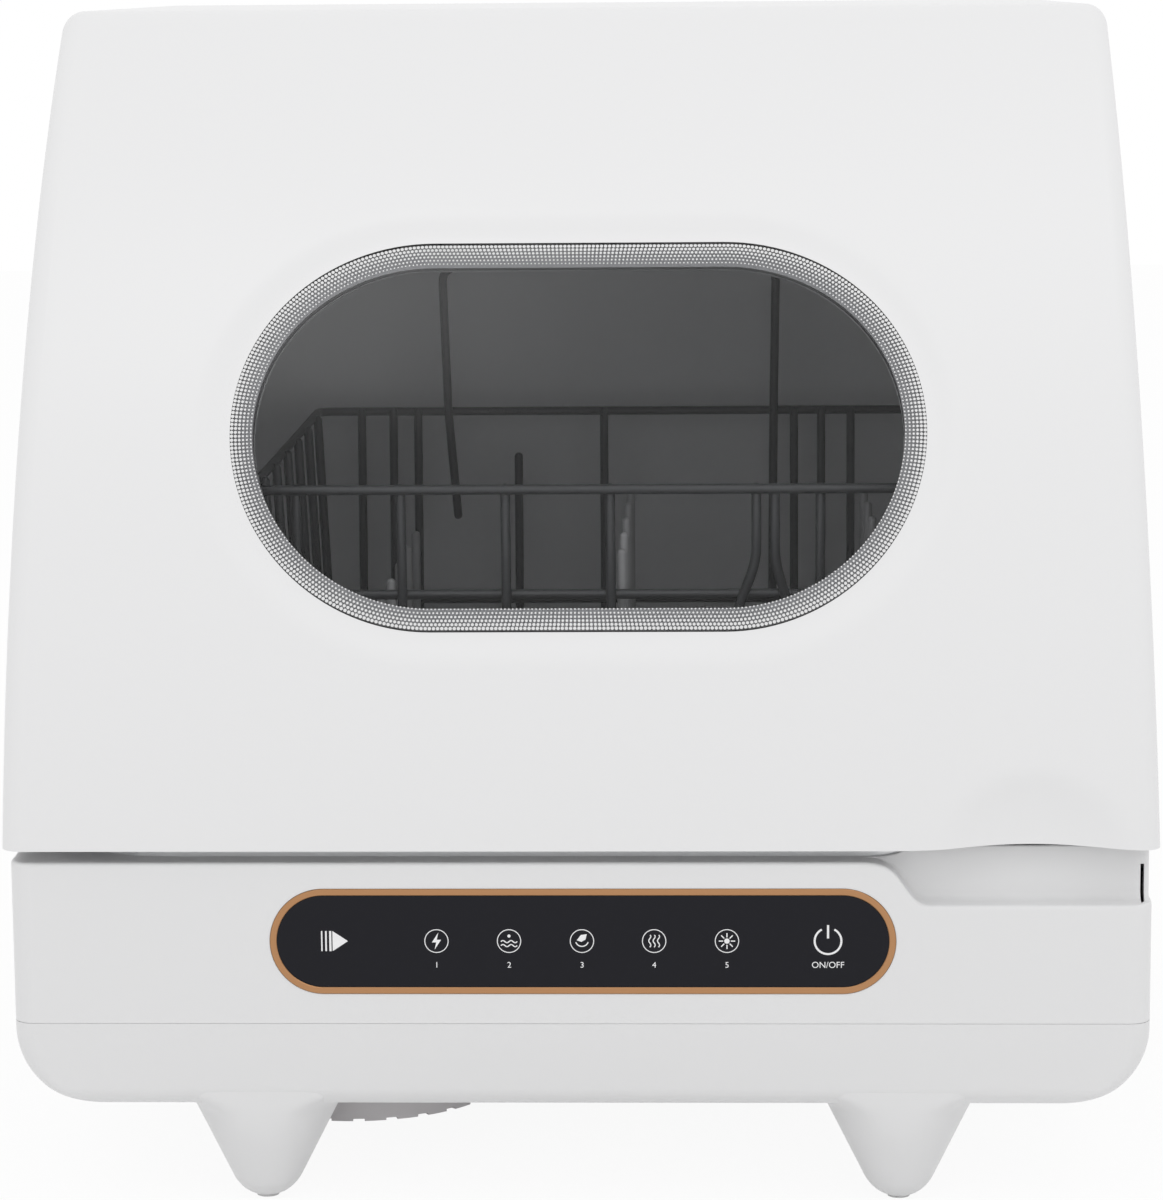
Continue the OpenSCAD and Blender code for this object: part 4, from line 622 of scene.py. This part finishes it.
KEY_Z, WORD_Z, MARK_UP = 0.2, -8.9, 0.16
MARK_X = [-91.2, -53.6, -26.9, -0.1, 26.4, 53.1, 90.1]
for x, wide in ((-4.9, 0.5), (-3.4, 0.6), (-1.9, 0.8)):
    mark(box_outline(x, x + wide, -3.8, 3.8), MARK_X[0], KEY_Z)
mark([(-0.7, -3.8), (5.0, 0), (-0.7, 3.8)], MARK_X[0], KEY_Z)
for x in MARK_X[1:6]:
    stroke(arc_points(4.3, 0, 360, 41), 0.32, x, KEY_Z)
mark([(0.7, 3.2), (-1.7, -0.5), (-0.1, -0.5)], MARK_X[1], KEY_Z)
mark([(-0.7, -3.2), (1.7, 0.5), (0.1, 0.5)], MARK_X[1], KEY_Z)
for k in (-1.7, -0.2):
    stroke([(-3 + 0.5 * j, k + 0.45 * math.sin(j * 1.05)) for j in range(13)], 0.42, MARK_X[2], KEY_Z)
mark(arc_points(0.6, 0, 360, 14, 0, 1.9)[:-1], MARK_X[2], KEY_Z)
stroke(arc_points(2.4, 200, 340, 14, 0, 0.4), 0.42, MARK_X[3], KEY_Z)
mark([(-1.9, 0.3), (-0.4, 2.3), (1.8, 2.6), (1.3, 0.6), (-0.2, -0.3)], MARK_X[3], KEY_Z)
for k in (-1.6, 0, 1.6):
    stroke([(k + 0.4 * math.sin(j * 0.9), -2.3 + 0.46 * j) for j in range(11)], 0.42, MARK_X[4], KEY_Z)
for a in range(0, 360, 45):
    c, s = math.cos(math.radians(a)), math.sin(math.radians(a))
    stroke([(1.4 * c, 1.4 * s), (3.0 * c, 3.0 * s)], 0.42, MARK_X[5], KEY_Z)
mark(arc_points(1.0, 0, 360, 16)[:-1], MARK_X[5], KEY_Z)
stroke(arc_points(4.9, 118, 422, 34), 0.75, MARK_X[6], KEY_Z)
stroke([(0, 1.0), (0, 6.0)], 0.8, MARK_X[6], KEY_Z)
glow = plain("panel_ink", (0.90, 0.90, 0.91), 0.5)
marks = put("panel_marks", mark_v, mark_f, glow, "base", smooth=0)
for x, words, size in [(MARK_X[i], str(i), 3.1) for i in range(1, 6)] + [(MARK_X[6], "ON/OFF", 3.3)]:
    cu = bpy.data.curves.new("word", "FONT")
    cu.body, cu.size, cu.align_x, cu.align_y = words, size / 1000, "CENTER", "CENTER"
    t = bpy.data.objects.new("word", cu)
    bpy.context.collection.objects.link(t)
    dg = bpy.context.evaluated_depsgraph_get()
    flat = bpy.data.meshes.new_from_object(t.evaluated_get(dg))
    place = Vector(facing_front((x, WORD_Z, MARK_UP))) / 1000
    flat.transform(Matrix.Translation(place) @ Matrix.Rotation(math.pi / 2, 4, "X"))
    flat.materials.clear()
    flat.materials.append(glow)
    o = bpy.data.objects.new("panel_label_" + ("power" if "/" in words else words), flat)
    bpy.context.collection.objects.link(o)
    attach(o, "base")
    bpy.data.objects.remove(t)

# ---------------------------------------------------------------- dish_rack
# A rack of coated wire: two rims, uprights, a floor of crossed wires and a tall plate frame at the back.
RACK = dict(x0=-125.0, x1=147.0, y0=-142.0, y1=125.0, rim=261.5, low=130.5)
wire_v, wire_f = [], []


def wire(points, r=1.9, sides=10, bend=0.0, closed=False):
    """A round wire through the points, its corners turned on a radius, with round ends."""
    pts = [Vector(p) for p in points]
    if bend:
        out = [] if closed else [pts[0]]
        idx = range(len(pts)) if closed else range(1, len(pts) - 1)
        for i in idx:
            a, b, c = pts[i - 1], pts[i], pts[(i + 1) % len(pts)]
            k = min(bend, (a - b).length * 0.45, (c - b).length * 0.45)
            p, q = b + (a - b).normalized() * k, b + (c - b).normalized() * k
            out += [p * (1 - t) ** 2 + b * 2 * t * (1 - t) + q * t * t for t in np.linspace(0, 1, 7)]
        if not closed:
            out.append(pts[-1])
        pts = out
    up = Vector((0.13, 0.21, 0.97))
    rings, n = [], len(pts)
    for i, p in enumerate(pts):
        a = pts[(i - 1) % n] if closed or i else p
        b = pts[(i + 1) % n] if closed or i < n - 1 else p
        d = (b - a).normalized()
        u = (up - d * up.dot(d))
        u = u.normalized() if u.length > 0.05 else d.orthogonal().normalized()
        if rings:
            u = (last - d * last.dot(d)).normalized()
        last, v = u, d.cross(u)
        ends = [(0, r)]
        if not closed and i == 0:
            ends = [(-r * math.cos(t), r * math.sin(t)) for t in (0.3, 0.8, 1.2)] + [(0, r)]
        if not closed and i == n - 1:
            ends = [(0, r)] + [(r * math.cos(t), r * math.sin(t)) for t in (1.2, 0.8, 0.3)]
        for along, rr in ends:
            rings.append([p + d * along + (u * math.cos(t) + v * math.sin(t)) * rr
                          for t in np.linspace(0, 2 * math.pi, sides, endpoint=False)])
    base = len(wire_v)
    for ring in rings:
        wire_v.extend(ring)
    wire_f.extend(quads(len(rings), sides, base=base))
    if closed:
        last = base + (len(rings) - 1) * sides
        wire_f.extend((last + i, last + (i + 1) % sides, base + (i + 1) % sides, base + i)
                      for i in range(sides))
    else:
        wire_f.append(list(range(base, base + sides))[::-1])
        wire_f.append(list(range(base + (len(rings) - 1) * sides, base + len(rings) * sides)))


k = RACK
weld = 2.57
for z, d in ((k["rim"], 0), (k["low"], 6)):
    wire([(k["x0"] + d, k["y0"] + d, z), (k["x1"] - d, k["y0"] + d, z), (k["x1"] - d, k["y1"] - d, z),
          (k["x0"] + d, k["y1"] - d, z)], bend=7, closed=True)


def upright(x, side, top=RACK["rim"], kink=0.0):
    """An upright of the front mat (side 1) or the back mat (side -1); kink bends its lower part sideways."""
    y = k["y0"] + weld if side > 0 else k["y1"] - weld
    pts = [(x, y, top), (x, y + side * 1.6, top - 28), (x + kink, y + side * 3, top - 52),
           (x + kink, y + side * 6, k["low"])]
    wire(pts if kink else [pts[0], pts[-1]], bend=6 if kink else 0)


for x in (-107.7, -68.1, -28.6, 11.0, 90.1, 129.7):
    upright(x, 1)
upright(66, 1, kink=-9)
upright(73, 1, kink=7)
for x in (-105.5, -91.5, -80.5, 2, 86, 98, 111):
    upright(x, -1)
upright(-36, -1, top=241.5)
yb = k["y1"] - weld
wire([(-63, yb - 4, 216), (-67, yb, k["rim"]), (-69, yb, 325.5), (78, yb, 325.5), (77, yb, k["rim"]),
      (76, yb - 6, k["low"])], bend=7)
for y, s, z in ((k["y0"], 1, 220.5), (k["y1"], -1, 178.5)):
    yy = y + s * (2 * weld + 6 * (k["rim"] - z) / 131)
    wire([(k["x0"] + 12, yy, z), (k["x1"] - 12, yy, z)])
x0, x1, y0, y1 = k["x0"] + 12.5, k["x1"] - 12.5, k["y0"] + 12.5, k["y1"] - 12.5
for s, x in ((1, k["x0"]), (-1, k["x1"])):
    for i in range(6):
        y = k["y0"] + 29.9 + i * (k["y1"] - k["y0"] - 59.8) / 5
        wire([(x + s * weld, y, k["rim"] - 0.3), (x + s * (6 + weld), y, k["low"] + 0.4)])
for i in range(9):
    x = x0 + 12 + i * (x1 - x0 - 24) / 8
    wire([(x, y0 - 5, k["low"] - weld), (x, y1 + 5, k["low"] - weld)])
for i in range(5):
    y = y0 + 14 + i * (y1 - y0 - 28) / 4
    wire([(x0 - 5, y, k["low"]), (x1 + 5, y, k["low"])])
coat = plain("rack_coating", (0.055, 0.057, 0.06), 0.42)
put("dish_rack", wire_v, wire_f, coat, "base", ["dish_rack"], smooth=60)

# ---------------------------------------------------------------- plate_tines
# Three rows of upright tines that hold the plates, each welded to a rail clipped onto the rack's floor
# and coated in a lighter grey.
wire_v, wire_f = [], []
for x, top in ((-77, 216.5), (15, 234.5), (114, 234.5)):
    wire([(x, -129, 134.0), (x, 51, 134.0)])
    for i in range(5):
        wire([(x, -129 + 44 * i, 134.4), (x, -125 + 44 * i, top)])
tine_grey = plain("tine_coating", (0.42, 0.42, 0.425), 0.35)
put("plate_tines", wire_v, wire_f, tine_grey, "base", ["plate_tines"], smooth=60)

# ---------------------------------------------------------------- CAD pieces shown as they are
# Everything else keeps its CAD shape and takes a plain finish of its slot.
steel = plain("steel", (0.52, 0.53, 0.54), 0.34, Metallic=1.0)
finish = {
    "pad_rubber": plain("pad_rubber", (0.75, 0.75, 0.75), 0.7),
    "steel": steel,
    "pin_steel": plain("pin_steel", (0.60, 0.61, 0.62), 0.2, Metallic=1.0),
    "tub_steel": plain("tub_steel", (0.80, 0.81, 0.82), 0.35, Metallic=0.8),
    "heater_steel": plain("heater_steel", (0.30, 0.29, 0.28), 0.4, Metallic=0.9),
    "grey_plastic": plain("grey_plastic", (0.36, 0.365, 0.37), 0.5),
    "dark_plastic": plain("dark_plastic", (0.05, 0.05, 0.055), 0.5),
    "liner_plastic": plain("liner_plastic", (0.85, 0.853, 0.857), 0.5),
    "rubber": plain("rubber", (0.20, 0.20, 0.21), 0.7),
    "hose_plastic": plain("hose_plastic", (0.68, 0.68, 0.66), 0.4),
    "rack_coating": coat,
    "board_green": plain("board_green", (0.01, 0.06, 0.03), 0.4),
    "winding": plain("winding", (0.42, 0.18, 0.06), 0.4, Metallic=0.4),
    "smoked_glass": smoke, "white_plastic": white, "tray_plastic": tray_white_painted_shade, "copper_trim": copper,
    "panel_glass": black,
}
cover_grey = plain("cover_grey", (0.62, 0.60, 0.61), 0.5)
slots = {s["node"]: s["material_slot"] for s in frame["record"]["subparts"]}
for name, o in frame["nodes"].items():
    o.data.materials.clear()
    o.data.materials.append(cover_grey if name == "motor_cover" else finish[slots[name]])

# ---------------------------------------------------------------- studio
# A plain pale floor, an even sky, a soft lamp from the upper right front, and a narrow lamp over the
# camera that the pane mirrors.
def seen_share(nt, low, high):
    """low where light falls on the object; high seen straight, mirrored or through glass."""
    rays = nt.nodes.new("ShaderNodeLightPath")
    share = nt.nodes.new("ShaderNodeMapRange")
    share.inputs["To Min"].default_value, share.inputs["To Max"].default_value = low, high
    seen = rays.outputs["Is Camera Ray"]
    for ray in ("Is Glossy Ray", "Is Transmission Ray"):
        either = nt.nodes.new("ShaderNodeMath")
        either.operation = "MAXIMUM"
        nt.links.new(seen, either.inputs[0])
        nt.links.new(rays.outputs[ray], either.inputs[1])
        seen = either.outputs[0]
    nt.links.new(seen, share.inputs["Value"])
    return share.outputs["Result"]


floor_mat = bpy.data.materials.new("studio_floor")
floor_mat.use_nodes = True
nt = floor_mat.node_tree
fb = nt.nodes["Principled BSDF"]
fb.inputs["Base Color"].default_value = (0.93, 0.93, 0.93, 1)
fb.inputs["Roughness"].default_value = 0.9
fb.inputs["Specular IOR Level"].default_value = 0.0
# seen straight or in a reflection the floor is nearly white, and keeps a faint shadow of the object
paper = nt.nodes.new("ShaderNodeEmission")
blend = nt.nodes.new("ShaderNodeMixShader")
nt.links.new(seen_share(nt, 0.0, 0.93), blend.inputs["Fac"])
nt.links.new(fb.outputs[0], blend.inputs[1])
nt.links.new(paper.outputs[0], blend.inputs[2])
nt.links.new(blend.outputs[0], nt.nodes["Material Output"].inputs["Surface"])
bpy.ops.mesh.primitive_plane_add(size=9, location=(0, 0, -0.0002))
floor = bpy.context.object
floor.name = "studio_floor"
floor.data.materials.append(floor_mat)
world = bpy.data.worlds.new("studio")
bpy.context.scene.world = world
world.use_nodes = True
bg = world.node_tree.nodes["Background"]
bg.inputs["Color"].default_value = (1, 1, 1, 1)
world.node_tree.links.new(seen_share(world.node_tree, 0.86, 1.0), bg.inputs["Strength"])
for name, wide, deep, power, at, aim in (
        ("soft_lamp", 1.2, 0.9, 3.4, (0.7, -1.1, 2.1), (0, 0, 0.2)),
        ("strip_lamp", 0.33, 0.7, 2.4, (-0.31, -1.42, 1.82), (0, -0.17, 0.29))):
    lamp = bpy.data.lights.new(name, "AREA")
    lamp.shape, lamp.size, lamp.size_y, lamp.energy = "RECTANGLE", wide, deep, power
    lo = bpy.data.objects.new(name, lamp)
    bpy.context.collection.objects.link(lo)
    lo.location = at
    lo.rotation_euler = (Vector(aim) - Vector(at)).to_track_quat("-Z", "Y").to_euler()

# camera, fitted to the photograph's outline
cam = bpy.data.cameras.new("camera")
co = bpy.data.objects.new("camera", cam)
bpy.context.collection.objects.link(co)
F, pitch, yaw, roll = 3890.0, math.radians(9.13), math.radians(-1.87), math.radians(-0.46)
cam.sensor_fit, cam.sensor_height, cam.sensor_width = "AUTO", 36, 36
cam.lens = F * 36 / 1200
cam.clip_start, cam.clip_end = 0.05, 50
fwd = Vector((math.sin(yaw) * math.cos(pitch), math.cos(yaw) * math.cos(pitch), -math.sin(pitch)))
right = Vector((math.cos(yaw), -math.sin(yaw), 0))
up = right.cross(fwd)
right, up = right * math.cos(roll) + up * math.sin(roll), -right * math.sin(roll) + up * math.cos(roll)
co.matrix_world = Matrix(((right.x, up.x, -fwd.x, 0.0473), (right.y, up.y, -fwd.y, -1.5914),
                          (right.z, up.z, -fwd.z, 0.4524), (0, 0, 0, 1)))
sc = bpy.context.scene
sc.camera = co
sc.view_settings.view_transform = "Standard"
